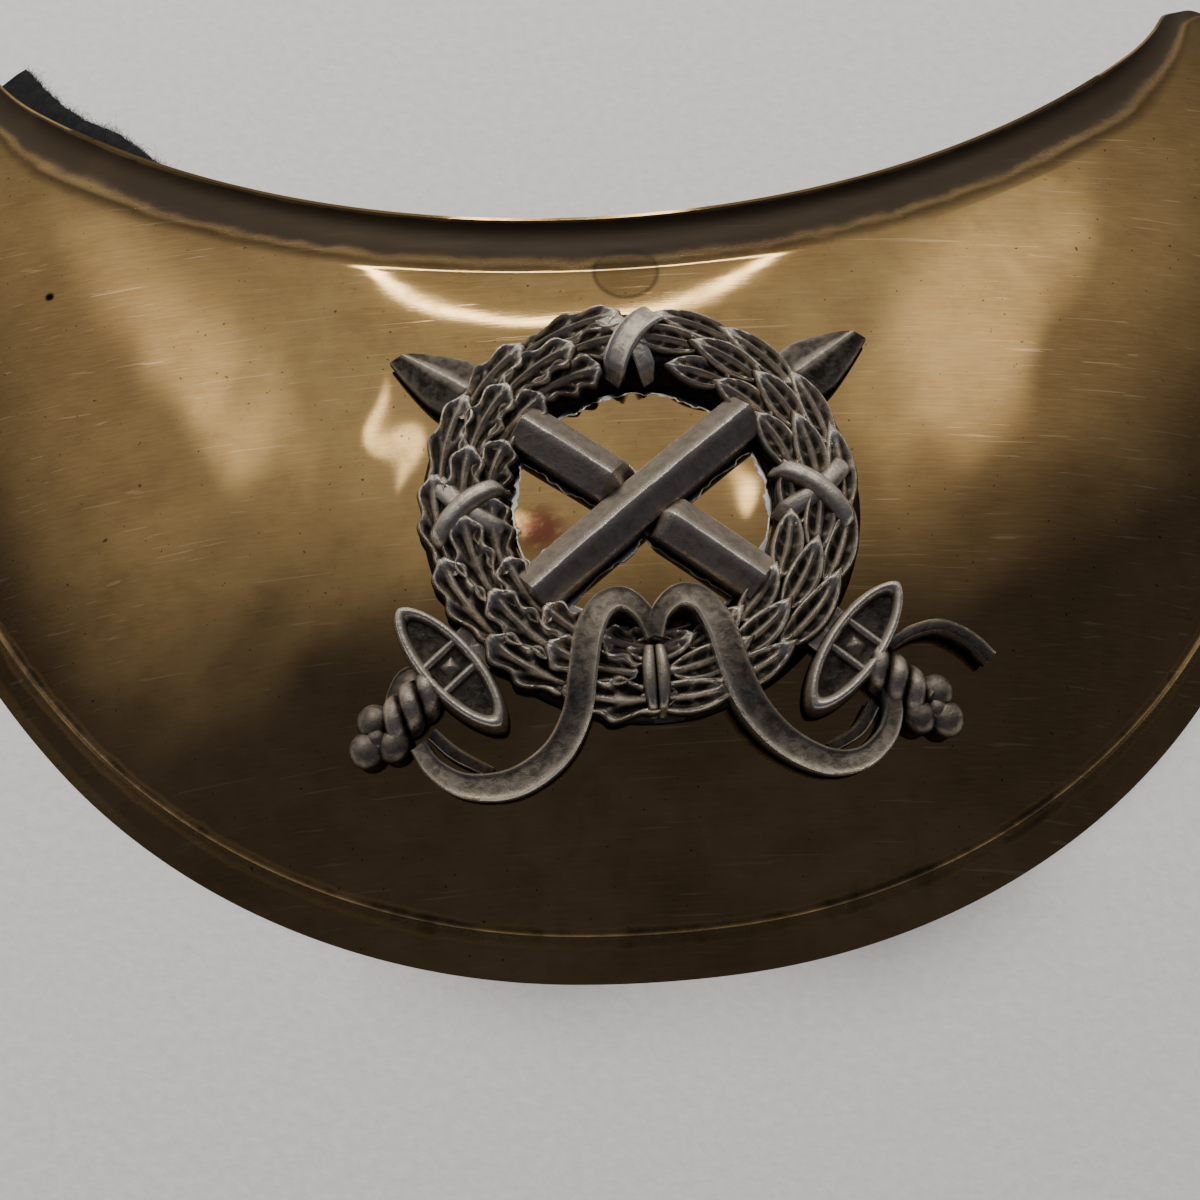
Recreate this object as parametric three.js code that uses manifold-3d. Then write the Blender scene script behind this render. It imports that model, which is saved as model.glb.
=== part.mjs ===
// Crescent gorget: a formed brass plate with a cast white-metal badge, backed with black felt.
// Millimetres. +Z rises from the front of the plate, +Y points to the neck opening,
// +X points right when the front is looked at. The plate lies on its back on its outer edge, and the
// origin is the middle of its outline on the resting plane.
import * as THREE from 'three';
import { mergeVertices } from 'three/addons/utils/BufferGeometryUtils.js';
import Module from 'manifold-3d';

const wasm = await Module();
wasm.setup();

// Plate
const gorgetWidth = 150.4;
const bodyHeight = 75.5;
const sheetThickness = 0.9;
const crownHeight = 16;
const hornHeight = 6;
const domeRoundness = 2.6;
const hornTipLength = 7;
const neckFluteWidth = 7.5;
const neckFluteDepth = 0.9;
const neckFluteDeepest = 1 / 3;
const rimLineInset = 3.8;
const rimLineWidth = 1;
const rimLineRise = 0.35;
const fullDetailWidth = 34;

// Felt lining
const feltThickness = 1.5;
const feltFloorClearance = 0.6;
const feltInset = 1.9;
const feltPeek = 5.2;
const feltPeekStart = -0.5;
const feltPeekWidest = -0.93;
const feltPeekEnd = -0.99;
const pieceClearance = 0.3;

// Horn studs
const studHeadRadius = 2.6;
const studHeadThickness = 1.1;
const studPostRadius = 1.3;
const studPostHeight = 1.6;
const studInset = 10;
const studPlace = 0.5;
const studSides = 16;

// Badge
const badgeOffset = 1.7;
const badgeRaise = 42.4;
const wreathRadius = 16.6;
const wreathBodyWidth = 8.2;
const wreathRise = 2.8;
const leafRise = 0.9;
const oakLeafLength = 8.3;
const oakLeafWidth = 3.9;
const laurelLeafLength = 7.2;
const laurelLeafWidth = 2.7;
const leavesPerRow = 8;
const leafRowSpacing = 2.9;
const leafRowSpread = THREE.MathUtils.degToRad(13);
const sideRowDrop = 0.3;
const firstLeafAngle = THREE.MathUtils.degToRad(-80);
const lastLeafAngle = THREE.MathUtils.degToRad(60);
const swordAngle = THREE.MathUtils.degToRad(38.3);
const bladeWidth = 4.6;
const bladeRise = 3.5;
const bladeShoulder = 0.6;
const bladeReach = 27.6;
const bladeTipWidth = 6;
const crossingDrop = 1;
const guardDistance = 23.7;
const guardLength = 15.2;
const guardWidth = 5.5;
const guardRise = 3.2;
const guardRimWidth = 1.1;
const guardFieldDepth = 0.7;
const guardBossRadius = 1.2;
const guardBarOffset = 1.6;
const guardBarWidth = 0.6;
const gripLength = 5.4;
const gripWidth = 4.2;
const gripRise = 3.15;
const gripBulges = 3;
const gripWaist = 0.72;
const pommelDistance = 32.6;
const pommelLobeRadius = 1.45;
const ribbonWidth = 2.4;
const ribbonRise = 2.6;
const bandRise = 1;
const bandSeat = 0.25;
const knotRodLength = 7.4;
const knotRodRadius = 0.48;
const knotRodRise = 3.8;
const knotRodDip = 0.65;
const layerStep = 0.22;

// Half of each edge of the crescent, from its low point out to the horn, as arcs one after another.
// radius is a share of half the gorget's width.
const OUTER_ARCS = [
  { radius: 1.37, degrees: 4.3 },
  { radius: 0.882, degrees: 47.3 },
  { radius: 1.263, degrees: 48.4 },
];
const NECK_ARCS = [
  { radius: 1.117, degrees: 43 },
  { radius: 0.319, degrees: 31 },
];

// Leaf outlines: along is a share of the length, half a share of half the width.
const OAK_OUTLINE = [
  { along: 0, half: 0.2 },
  { along: 0.25, half: 0.8 },
  { along: 0.6, half: 1 },
  { along: 0.82, half: 0.6 },
  { along: 1, half: 0.12 },
];
const LAUREL_OUTLINE = [
  { along: 0, half: 0.2 },
  { along: 0.4, half: 1 },
  { along: 0.75, half: 0.7 },
  { along: 1, half: 0.08 },
];

// Bands that cross over the wreath: at is the place on the ring, lean the turn away from the radius.
const RING_BANDS = [
  { at: 90, lean: 31, lift: 0.5 },
  { at: 90, lean: -37, lift: 1 },
  { at: 180, lean: -45, lift: 0.5 },
  { at: 180, lean: 39, lift: 1 },
  { at: 0, lean: 37, lift: 0.5 },
  { at: 0, lean: -43, lift: 1 },
];

// Bow ribbons as shares of the wreath's radius: across and up from the badge's middle;
// lift is a share of the ribbon's rise.
const LEFT_BOW = [
  { across: 0, up: -0.82, lift: 1 },
  { across: -0.05, up: -0.63, lift: 1.15 },
  { across: -0.18, up: -0.59, lift: 1.2 },
  { across: -0.32, up: -0.7, lift: 1.25 },
  { across: -0.4, up: -0.98, lift: 1.6 },
  { across: -0.45, up: -1.2, lift: 1.1 },
  { across: -0.61, up: -1.42, lift: 0.95 },
  { across: -0.88, up: -1.53, lift: 1 },
  { across: -1.12, up: -1.51, lift: 1 },
  { across: -1.31, up: -1.32, lift: 0.8 },
];
const RIGHT_BOW = [
  { across: 0, up: -0.82, lift: 1 },
  { across: 0.04, up: -0.65, lift: 1.15 },
  { across: 0.2, up: -0.6, lift: 1.2 },
  { across: 0.36, up: -0.7, lift: 1.25 },
  { across: 0.43, up: -0.98, lift: 1.6 },
  { across: 0.5, up: -1.2, lift: 1.1 },
  { across: 0.68, up: -1.41, lift: 0.95 },
  { across: 0.9, up: -1.5, lift: 1 },
  { across: 1.1, up: -1.49, lift: 1 },
  { across: 1.3, up: -1.3, lift: 0.8 },
];
const LEFT_END = [
  { across: -1.27, up: -0.98, lift: 0.8 },
  { across: -1.37, up: -0.87, lift: 1 },
  { across: -1.46, up: -0.89, lift: 1.05 },
  { across: -1.54, up: -1, lift: 0.9 },
  { across: -1.68, up: -1.08, lift: 0.6 },
];
const RIGHT_END = [
  { across: 1.28, up: -0.98, lift: 0.8 },
  { across: 1.42, up: -0.86, lift: 1 },
  { across: 1.6, up: -0.81, lift: 1.1 },
  { across: 1.78, up: -0.88, lift: 0.9 },
  { across: 1.87, up: -1.01, lift: 0.6 },
];

const bodyColumns = 17;
const tipColumns = 4;
const domeRowCount = 6;
const fluteRowCount = 4;
const ringSteps = 28;
const bowSteps = 16;
const ribbonEndSteps = 5;
const halfWidth = gorgetWidth / 2;

// Point at a share of the length of a chain of arcs that starts level at the middle.
function arcPoint(arcs, share) {
  const chain = arcs.map((arc) => ({
    radius: arc.radius * halfWidth,
    turn: THREE.MathUtils.degToRad(arc.degrees),
  }));
  let left = share * chain.reduce((sum, arc) => sum + arc.radius * arc.turn, 0);
  const point = new THREE.Vector2();
  let heading = 0;
  for (const arc of chain) {
    const turn = Math.min(arc.turn, left / arc.radius);
    point.x += arc.radius * (Math.sin(heading + turn) - Math.sin(heading));
    point.y += arc.radius * (Math.cos(heading) - Math.cos(heading + turn));
    heading += turn;
    left = Math.max(0, left - turn * arc.radius);
  }
  return point;
}

// The straight line across the plate at station u, from -1 at the left horn to 1 at the right one.
function ruling(u) {
  const foot = arcPoint(OUTER_ARCS, Math.abs(u));
  const head = arcPoint(NECK_ARCS, Math.abs(u));
  const rise = head.y;
  head.y += bodyHeight;
  foot.x *= Math.sign(u);
  head.x *= Math.sign(u);
  return { foot, head, rise, width: foot.distanceTo(head) };
}

const hornRise = ruling(1).rise;
const hornTipStart = 1 - hornTipLength / (hornRise + halfWidth);

// Height of the dome at a share q of the way from the outer edge to the neck.
function domeHeight(line, q) {
  const crown = THREE.MathUtils.lerp(crownHeight, hornHeight, line.rise / hornRise);
  return crown * (1 - Math.pow(Math.max(0, 1 - q), domeRoundness));
}

// Small forms shrink where the plate narrows to the horns.
function detailScale(line) {
  return Math.min(1, line.width / fullDetailWidth);
}

// The hollow along the neck: deepest near the edge, it runs out level on the dome.
function fluteDip(line, q) {
  const scale = detailScale(line);
  const place = ((1 - q) * line.width) / (neckFluteWidth * scale);
  if (place >= 1) {
    return 0;
  }
  const hollow = (place * (1 - place) ** 2) / (neckFluteDeepest * (1 - neckFluteDeepest) ** 2);
  return neckFluteDepth * scale * hollow;
}

function rimLine(line, q) {
  const scale = detailScale(line);
  const place = (q * line.width - rimLineInset * scale) / (rimLineWidth * scale);
  return rimLineRise * scale * Math.max(0, 1 - 2 * Math.abs(place));
}

function frontPoint(line, q) {
  const flat = line.foot.clone().lerp(line.head, q);
  return new THREE.Vector3(flat.x, flat.y, domeHeight(line, q) - fluteDip(line, q));
}

function frontNormal(u, q) {
  const small = 0.002;
  const along = frontPoint(ruling(u + small), q).sub(frontPoint(ruling(u - small), q));
  const up = frontPoint(ruling(u), q + small).sub(frontPoint(ruling(u), q - small));
  return along.cross(up).normalize();
}

// A point under the front by depth, with the flute fading out of it towards the horns.
// A point that would lie below floor slides inwards to it.
function backPoint(u, q, depth, floor) {
  const line = ruling(u);
  const point = frontPoint(line, q);
  point.z += fluteDip(line, q) * (1 - detailScale(line));
  const flat = frontNormal(u, q);
  const base = frontNormal(u, Math.min(q, 1 - (neckFluteWidth * detailScale(line)) / line.width));
  const normal = detailScale(line) < 1 ? base : flat;
  point.addScaledVector(normal, -depth);
  if (point.z < floor) {
    const inward = line.head.clone().sub(line.foot).normalize();
    const slope = Math.max(0.05, -(normal.x * inward.x + normal.y * inward.y) / normal.z);
    const slide = (floor - point.z) / slope;
    point.x += inward.x * slide;
    point.y += inward.y * slide;
    point.z = floor;
  }
  return point;
}

// Stations along the plate: even over the body, closing in round the horn tips.
function stations() {
  const right = [];
  for (let i = 1; i <= bodyColumns; i += 1) {
    right.push({ u: (hornTipStart * i) / bodyColumns, keep: 1 });
  }
  for (let i = 1; i <= tipColumns; i += 1) {
    const turn = (0.94 * Math.PI * i) / (2 * tipColumns);
    right.push({ u: THREE.MathUtils.lerp(hornTipStart, 1, Math.sin(turn)), keep: Math.cos(turn) });
  }
  const left = right.map(({ u, keep }) => ({ u: -u, keep })).reverse();
  return [...left, { u: 0, keep: 1 }, ...right];
}

// Shares from a start on the dome up to an end at the neck, closer together over the flute.
function domeRows(line, start, end) {
  const fluteStart = 1 - (neckFluteWidth * detailScale(line)) / line.width;
  const rows = [];
  for (let i = 0; i < domeRowCount; i += 1) {
    rows.push(THREE.MathUtils.lerp(start, fluteStart, i / domeRowCount));
  }
  for (let i = 0; i <= fluteRowCount; i += 1) {
    rows.push(THREE.MathUtils.lerp(fluteStart, end, i / fluteRowCount));
  }
  return rows;
}

// Shares across the plate: the rim and its raised line, then the dome.
function plateRows(line) {
  const scale = detailScale(line) / line.width;
  const rimStart = (rimLineInset - rimLineWidth / 2) * scale;
  const rimEnd = (rimLineInset + rimLineWidth / 2) * scale;
  return [0, 0.6 * rimStart, rimStart, rimLineInset * scale, ...domeRows(line, rimEnd, 1)];
}

// A closed sheet from columns that each hold as many front points as back points.
function sheetGeometry(columns) {
  const rows = columns[0].front.length;
  const positions = columns.flatMap(({ front, back }) => [...front, ...back]);
  const id = (column, row, side) => column * 2 * rows + side * rows + row;
  const index = [];
  const quad = (a, b, c, d) => index.push(a, b, c, a, c, d);
  for (let c = 0; c + 1 < columns.length; c += 1) {
    for (let r = 0; r + 1 < rows; r += 1) {
      quad(id(c, r, 0), id(c + 1, r, 0), id(c + 1, r + 1, 0), id(c, r + 1, 0));
      quad(id(c, r + 1, 1), id(c + 1, r + 1, 1), id(c + 1, r, 1), id(c, r, 1));
    }
    quad(id(c, 0, 1), id(c + 1, 0, 1), id(c + 1, 0, 0), id(c, 0, 0));
    quad(id(c, rows - 1, 0), id(c + 1, rows - 1, 0), id(c + 1, rows - 1, 1), id(c, rows - 1, 1));
  }
  const last = columns.length - 1;
  for (let r = 0; r + 1 < rows; r += 1) {
    quad(id(0, r, 0), id(0, r + 1, 0), id(0, r + 1, 1), id(0, r, 1));
    quad(id(last, r, 1), id(last, r + 1, 1), id(last, r + 1, 0), id(last, r, 0));
  }
  return indexed(positions, index);
}

function indexed(points, index) {
  const geometry = new THREE.BufferGeometry();
  geometry.setAttribute('position', new THREE.Float32BufferAttribute(points.flatMap((p) => p.toArray()), 3));
  geometry.setIndex(index);
  geometry.computeVertexNormals();
  return geometry;
}

function plateGeometry() {
  const columns = stations().map(({ u, keep }) => {
    const line = ruling(u);
    const shares = plateRows(line).map((q) => 0.5 + (q - 0.5) * keep);
    const front = shares.map((q) => {
      const point = frontPoint(line, q);
      point.z += rimLine(line, q);
      return point;
    });
    const back = shares.map((q) => backPoint(u, q, sheetThickness, 0));
    return { front, back };
  });
  return sheetGeometry(columns);
}

// How far the felt reaches out from under the neck edge: only near the left horn, widest beside it.
function feltOverhang(u) {
  if (u > feltPeekWidest) {
    return feltPeek * THREE.MathUtils.smoothstep(-u, -feltPeekStart, -feltPeekWidest);
  }
  return feltPeek * (1 - THREE.MathUtils.smoothstep(-u, -feltPeekWidest, -feltPeekEnd));
}

function liningGeometry() {
  const top = sheetThickness + pieceClearance;
  const columns = stations().filter(({ keep }) => keep === 1).map(({ u }) => {
    const line = ruling(u);
    const lowest = lowestShare(line, top + feltThickness + feltFloorClearance);
    const end = 1 - (feltInset * detailScale(line)) / line.width;
    const shares = domeRows(line, lowest, end);
    const front = shares.map((q) => backPoint(u, q, top, 0));
    const back = shares.map((q) => backPoint(u, q, top + feltThickness, 0));
    const out = line.head.clone().sub(line.foot).normalize().multiplyScalar(feltOverhang(u));
    for (const edge of [front, back]) {
      const tip = edge[edge.length - 1];
      tip.x += out.x;
      tip.y += out.y;
    }
    return { front, back };
  });
  return sheetGeometry(columns);
}

// The share across the plate where the dome first reaches a height.
function lowestShare(line, height) {
  let low = 0;
  let high = 0.8;
  for (let i = 0; i < 30; i += 1) {
    const middle = (low + high) / 2;
    if (domeHeight(line, middle) < height) {
      low = middle;
    } else {
      high = middle;
    }
  }
  return high;
}

// The front of the plate above a place in plan: the line across the plate that runs through it.
function plateHeight(x, y) {
  let low = -0.9;
  let high = 0.9;
  for (let i = 0; i < 30; i += 1) {
    const middle = (low + high) / 2;
    const { foot, head } = ruling(middle);
    const side = (head.x - foot.x) * (y - foot.y) - (head.y - foot.y) * (x - foot.x);
    if (side < 0) {
      low = middle;
    } else {
      high = middle;
    }
  }
  const line = ruling((low + high) / 2);
  const q = new THREE.Vector2(x, y).sub(line.foot).length() / line.width;
  return domeHeight(line, q);
}

// Lays a flat geometry over the plate: its x and y are distances from the badge's middle, its z the
// height off the plate.
function laidOnPlate(geometry) {
  const place = geometry.attributes.position;
  const small = 0.05;
  for (let i = 0; i < place.count; i += 1) {
    const x = place.getX(i) + badgeOffset;
    const y = place.getY(i) + badgeRaise;
    const z = plateHeight(x, y);
    const normal = new THREE.Vector3(
      (z - plateHeight(x + small, y)) / small,
      (z - plateHeight(x, y + small)) / small,
      1,
    ).normalize();
    const point = new THREE.Vector3(x, y, z).addScaledVector(normal, place.getZ(i) + pieceClearance);
    place.setXYZ(i, point.x, point.y, point.z);
  }
  return geometry;
}

function toSolid(source) {
  const bare = source.clone();
  bare.deleteAttribute('normal');
  bare.deleteAttribute('uv');
  const geometry = mergeVertices(bare, 1e-4);
  const vertProperties = new Float32Array(geometry.attributes.position.array);
  const triVerts = new Uint32Array(geometry.index.array);
  if (signedVolume(vertProperties, triVerts) < 0) {
    triVerts.reverse();
  }
  return new wasm.Manifold(new wasm.Mesh({ numProp: 3, vertProperties, triVerts }));
}

function signedVolume(vertices, triangles) {
  let sum = 0;
  for (let i = 0; i < triangles.length; i += 3) {
    const [a, b, c] = [0, 1, 2].map((k) => new THREE.Vector3().fromArray(vertices, 3 * triangles[i + k]));
    sum += a.dot(b.cross(c));
  }
  return sum / 6;
}

function fromSolid(solid) {
  const mesh = solid.getMesh();
  const geometry = new THREE.BufferGeometry();
  geometry.setAttribute('position', new THREE.Float32BufferAttribute(mesh.vertProperties, 3));
  geometry.setIndex([...mesh.triVerts]);
  geometry.computeVertexNormals();
  return geometry;
}

// A closed body through loops of equally many points, each end closed round its middle.
function loft(loops) {
  const size = loops[0].length;
  const points = loops.flat();
  const index = [];
  for (let l = 0; l + 1 < loops.length; l += 1) {
    for (let k = 0; k < size; k += 1) {
      const next = (k + 1) % size;
      const [a, b, c, d] = [l * size + k, l * size + next, (l + 1) * size + next, (l + 1) * size + k];
      index.push(a, b, c, a, c, d);
    }
  }
  closeEnd(points, index, 0, size, true);
  closeEnd(points, index, (loops.length - 1) * size, size, false);
  return indexed(points, index);
}

function closeEnd(points, index, first, size, reversed) {
  const middle = new THREE.Vector3();
  for (let k = 0; k < size; k += 1) {
    middle.addScaledVector(points[first + k], 1 / size);
  }
  points.push(middle);
  const centre = points.length - 1;
  for (let k = 0; k < size; k += 1) {
    const a = first + k;
    const b = first + ((k + 1) % size);
    index.push(...(reversed ? [centre, b, a] : [centre, a, b]));
  }
}

// A point at a distance along a direction in plan, offset to its left, at a height.
function besideLine(origin, direction, along, aside, height) {
  return new THREE.Vector3(
    origin.x + direction.x * along - direction.y * aside,
    origin.y + direction.y * along + direction.x * aside,
    height,
  );
}

function onRing(radius, angle) {
  return new THREE.Vector2(radius * Math.cos(angle), radius * Math.sin(angle));
}

function ringRise(fromMiddle) {
  const share = fromMiddle / (wreathBodyWidth / 2);
  return wreathRise * Math.sqrt(Math.max(0.04, 1 - share * share));
}

function wreathBody() {
  const section = [-1, -0.72, 0, 0.72, 1];
  const positions = [];
  const index = [];
  for (let i = 0; i < ringSteps; i += 1) {
    const angle = (2 * Math.PI * i) / ringSteps;
    for (const share of section) {
      const offset = (share * wreathBodyWidth) / 2;
      const place = onRing(wreathRadius + offset, angle);
      positions.push(new THREE.Vector3(place.x, place.y, Math.abs(share) === 1 ? 0 : ringRise(offset)));
    }
  }
  const size = section.length;
  for (let i = 0; i < ringSteps; i += 1) {
    for (let k = 0; k < size; k += 1) {
      const next = (k + 1) % size;
      const a = i * size + k;
      const b = i * size + next;
      const c = ((i + 1) % ringSteps) * size + next;
      const d = ((i + 1) % ringSteps) * size + k;
      index.push(a, b, c, a, c, d);
    }
  }
  return indexed(positions, index);
}

// A leaf with a ridge along its middle; its edges sink into what lies below.
function leaf(outline, length, width, base, direction, height) {
  const loops = outline.map(({ along, half }) => {
    const lift = height + leafRise * (0.35 + 0.65 * along);
    const edge = height - 0.5 * leafRise + 0.4 * leafRise * along;
    const aside = (half * width) / 2;
    return [
      besideLine(base, direction, along * length, -aside, edge),
      besideLine(base, direction, along * length, 0, lift),
      besideLine(base, direction, along * length, aside, edge),
    ];
  });
  return loft(loops);
}

// Three rows of leaves on one half of the ring, all pointing up round it to the top.
function leafRows(side, outline, length, width) {
  const leaves = [];
  for (const row of [-1, 1, 0]) {
    for (let i = 0; i < leavesPerRow; i += 1) {
      const stagger = row === 0 ? 0.5 : 0;
      const share = (i + stagger) / (leavesPerRow - 0.5);
      const angle = THREE.MathUtils.lerp(firstLeafAngle, lastLeafAngle, share);
      const heading = angle + Math.PI / 2 - row * leafRowSpread;
      const base = onRing(wreathRadius + row * leafRowSpacing, angle);
      const direction = onRing(1, heading);
      const height = ringRise(row * leafRowSpacing) - (row === 0 ? 0 : sideRowDrop);
      base.x *= side;
      direction.x *= side;
      leaves.push(leaf(outline, length, width, base, direction, height));
    }
  }
  return leaves;
}

// A band laid over the ring from its inner to its outer side.
function ringBand({ at, lean, lift }) {
  const angle = THREE.MathUtils.degToRad(at);
  const direction = onRing(1, angle + THREE.MathUtils.degToRad(lean));
  const middle = onRing(wreathRadius, angle);
  const reach = (0.62 * wreathBodyWidth) / Math.cos(THREE.MathUtils.degToRad(lean));
  const loops = [];
  for (const share of [-1, -0.8, -0.4, 0, 0.4, 0.8, 1]) {
    const top = ringRise(share * 0.5 * wreathBodyWidth) + bandRise * lift + bandSeat;
    const half = ribbonWidth / 2;
    loops.push([
      besideLine(middle, direction, share * reach, -half, 2.5 * layerStep + lift * layerStep),
      besideLine(middle, direction, share * reach, -0.8 * half, top),
      besideLine(middle, direction, share * reach, 0.8 * half, top),
      besideLine(middle, direction, share * reach, half, 2.5 * layerStep + lift * layerStep),
    ]);
  }
  return loft(loops);
}

// A flat ribbon along a smooth path through rows of a table.
function ribbon(rows, steps, base) {
  const path = new THREE.CatmullRomCurve3(rows.map(
    ({ across, up, lift }) => new THREE.Vector3(across * wreathRadius, up * wreathRadius, lift * ribbonRise),
  ));
  const loops = [];
  for (let i = 0; i <= steps; i += 1) {
    const point = path.getPoint(i / steps);
    const tangent = path.getTangent(i / steps);
    const direction = new THREE.Vector2(tangent.x, tangent.y).normalize();
    const half = ribbonWidth / 2;
    loops.push([
      besideLine(point, direction, 0, -half, base),
      besideLine(point, direction, 0, -0.8 * half, point.z),
      besideLine(point, direction, 0, 0.8 * half, point.z),
      besideLine(point, direction, 0, half, base),
    ]);
  }
  return loft(loops);
}

function blade(direction, drop, base) {
  const guardEnd = guardDistance - guardWidth / 4;
  const rows = [
    { along: -guardEnd, half: 0.5 * bladeWidth, rise: bladeRise },
    { along: -0.5 * guardEnd, half: 0.5 * bladeWidth, rise: bladeRise },
    { along: 0, half: 0.5 * bladeWidth, rise: bladeRise },
    { along: 0.35 * bladeReach, half: 0.5 * bladeWidth, rise: bladeRise },
    { along: 0.66 * bladeReach, half: 0.5 * bladeWidth, rise: 0.8 * bladeRise },
    { along: 0.82 * bladeReach, half: 0.5 * bladeTipWidth, rise: 0.75 * bladeRise },
    { along: 0.92 * bladeReach, half: 0.36 * bladeTipWidth, rise: 0.7 * bladeRise },
    { along: bladeReach, half: 0.19 * bladeTipWidth, rise: 0.6 * bladeRise },
  ];
  const origin = new THREE.Vector2();
  return loft(rows.map(({ along, half, rise }) => [
    besideLine(origin, direction, along, -half, base),
    besideLine(origin, direction, along, -half, bladeShoulder * (rise - drop)),
    besideLine(origin, direction, along, 0, rise - drop),
    besideLine(origin, direction, along, half, bladeShoulder * (rise - drop)),
    besideLine(origin, direction, along, half, base),
  ]));
}

// The guard seen from the front: a pointed oval with a raised rim round a sunk field.
function guard(direction, base) {
  const origin = new THREE.Vector2();
  const sides = 14;
  const oval = (trim, height) => {
    const loop = [];
    for (let i = 0; i < sides; i += 1) {
      const turn = (2 * Math.PI * i) / sides;
      const along = -guardDistance + (guardWidth / 2 - trim) * Math.sin(turn);
      const aside = (guardLength / 2 - 2 * trim) * Math.cos(turn);
      loop.push(besideLine(origin, direction, along, aside, height));
    }
    return loop;
  };
  return loft([
    oval(0, base),
    oval(0, 0.8 * guardRise),
    oval(0.3 * guardRimWidth, guardRise),
    oval(0.8 * guardRimWidth, guardRise),
    oval(guardRimWidth, guardRise - guardFieldDepth),
  ]);
}

function guardBoss(direction, base) {
  const place = besideLine(new THREE.Vector2(), direction, -guardDistance, 0, 0);
  const boss = new THREE.ConeGeometry(guardBossRadius, guardRise - base, 4);
  boss.rotateX(Math.PI / 2);
  boss.rotateZ(Math.atan2(direction.y, direction.x));
  boss.translate(place.x, place.y, base + (guardRise - base) / 2);
  return boss;
}

// Two bars over the guard's field, one on each side of the boss.
function guardBars(direction, base) {
  return [-1, 1].map((side) => {
    const bar = new THREE.BoxGeometry(guardWidth - guardRimWidth, guardBarWidth, guardRise - base);
    bar.rotateZ(Math.atan2(direction.y, direction.x));
    const place = besideLine(new THREE.Vector2(), direction, -guardDistance, side * guardBarOffset, 0);
    bar.translate(place.x, place.y, (guardRise + base) / 2);
    return bar;
  });
}

function grip(direction, base) {
  const origin = new THREE.Vector2();
  const start = guardDistance + 0.4 * guardWidth;
  const loops = [];
  const steps = 4 * gripBulges;
  for (let i = 0; i <= steps; i += 1) {
    const along = -start - (gripLength * i) / steps;
    const wave = Math.sin((Math.PI * gripBulges * i) / steps) ** 2;
    const swell = THREE.MathUtils.lerp(gripWaist, 1, wave);
    const half = (swell * gripWidth) / 2;
    loops.push([
      besideLine(origin, direction, along, -half, base),
      besideLine(origin, direction, along, -0.85 * half, 0.7 * gripRise * swell),
      besideLine(origin, direction, along, 0, gripRise * swell),
      besideLine(origin, direction, along, 0.85 * half, 0.7 * gripRise * swell),
      besideLine(origin, direction, along, half, base),
    ]);
  }
  return loft(loops);
}

// Three round lobes: two beside the grip's end and one past it.
function pommel(direction, base) {
  const lobes = [
    { along: 0.85, aside: 1 },
    { along: 0.85, aside: -1 },
    { along: -0.7, aside: 0 },
  ];
  return lobes.map(({ along, aside }) => {
    const lobe = new THREE.SphereGeometry(pommelLobeRadius, 7, 4);
    lobe.rotateX(Math.PI / 2);
    const place = besideLine(
      new THREE.Vector2(),
      direction,
      -pommelDistance + along * pommelLobeRadius,
      aside * pommelLobeRadius,
      base + pommelLobeRadius,
    );
    lobe.translate(place.x, place.y, place.z);
    return lobe;
  });
}

function sword(side, drop, base) {
  const direction = new THREE.Vector2(side * Math.cos(swordAngle), Math.sin(swordAngle));
  return [
    blade(direction, drop, base),
    guard(direction, base + layerStep / 2),
    guardBoss(direction, base + layerStep),
    ...guardBars(direction, base + layerStep),
    grip(direction, base + layerStep / 2),
    ...pommel(direction, base),
  ];
}

// Two rods side by side under the knot.
function knotRods(base) {
  const top = -0.8 * wreathRadius;
  const valley = knotRodRise - knotRodDip;
  const loops = [top, top - knotRodLength / 2, top - knotRodLength].map((y) => [
    new THREE.Vector3(-2 * knotRodRadius, y, base),
    new THREE.Vector3(-2 * knotRodRadius, y, valley),
    new THREE.Vector3(-knotRodRadius, y, knotRodRise),
    new THREE.Vector3(0, y, valley),
    new THREE.Vector3(knotRodRadius, y, knotRodRise),
    new THREE.Vector3(2 * knotRodRadius, y, valley),
    new THREE.Vector3(2 * knotRodRadius, y, base),
  ]);
  return loft(loops);
}

function badgeGeometry() {
  const pieces = [
    wreathBody(),
    ...leafRows(-1, OAK_OUTLINE, oakLeafLength, oakLeafWidth),
    ...leafRows(1, LAUREL_OUTLINE, laurelLeafLength, laurelLeafWidth),
    ...RING_BANDS.map(ringBand),
    ...sword(-1, crossingDrop, 2 * layerStep),
    ...sword(1, 0, layerStep),
    ribbon(LEFT_BOW, bowSteps, 3 * layerStep),
    ribbon(RIGHT_BOW, bowSteps, 3.5 * layerStep),
    ribbon(LEFT_END, ribbonEndSteps, 3 * layerStep),
    ribbon(RIGHT_END, ribbonEndSteps, 3.5 * layerStep),
    knotRods(4 * layerStep),
  ];
  const joined = pieces
    .map((piece) => toSolid(laidOnPlate(piece)))
    .reduce((whole, piece) => whole.add(piece));
  return fromSolid(joined);
}

// A stud with a flat round head, from its post's foot at the origin up +Z.
function studGeometry() {
  const headBottom = studPostHeight;
  const headTop = studPostHeight + studHeadThickness;
  const profile = [
    new THREE.Vector2(0, 0),
    new THREE.Vector2(studPostRadius, 0),
    new THREE.Vector2(studPostRadius, headBottom),
    new THREE.Vector2(studHeadRadius, headBottom),
    new THREE.Vector2(studHeadRadius, headTop),
    new THREE.Vector2(0, headTop),
  ];
  const stud = new THREE.LatheGeometry(profile, studSides);
  stud.rotateX(Math.PI / 2);
  return fromSolid(toSolid(stud));
}

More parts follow.
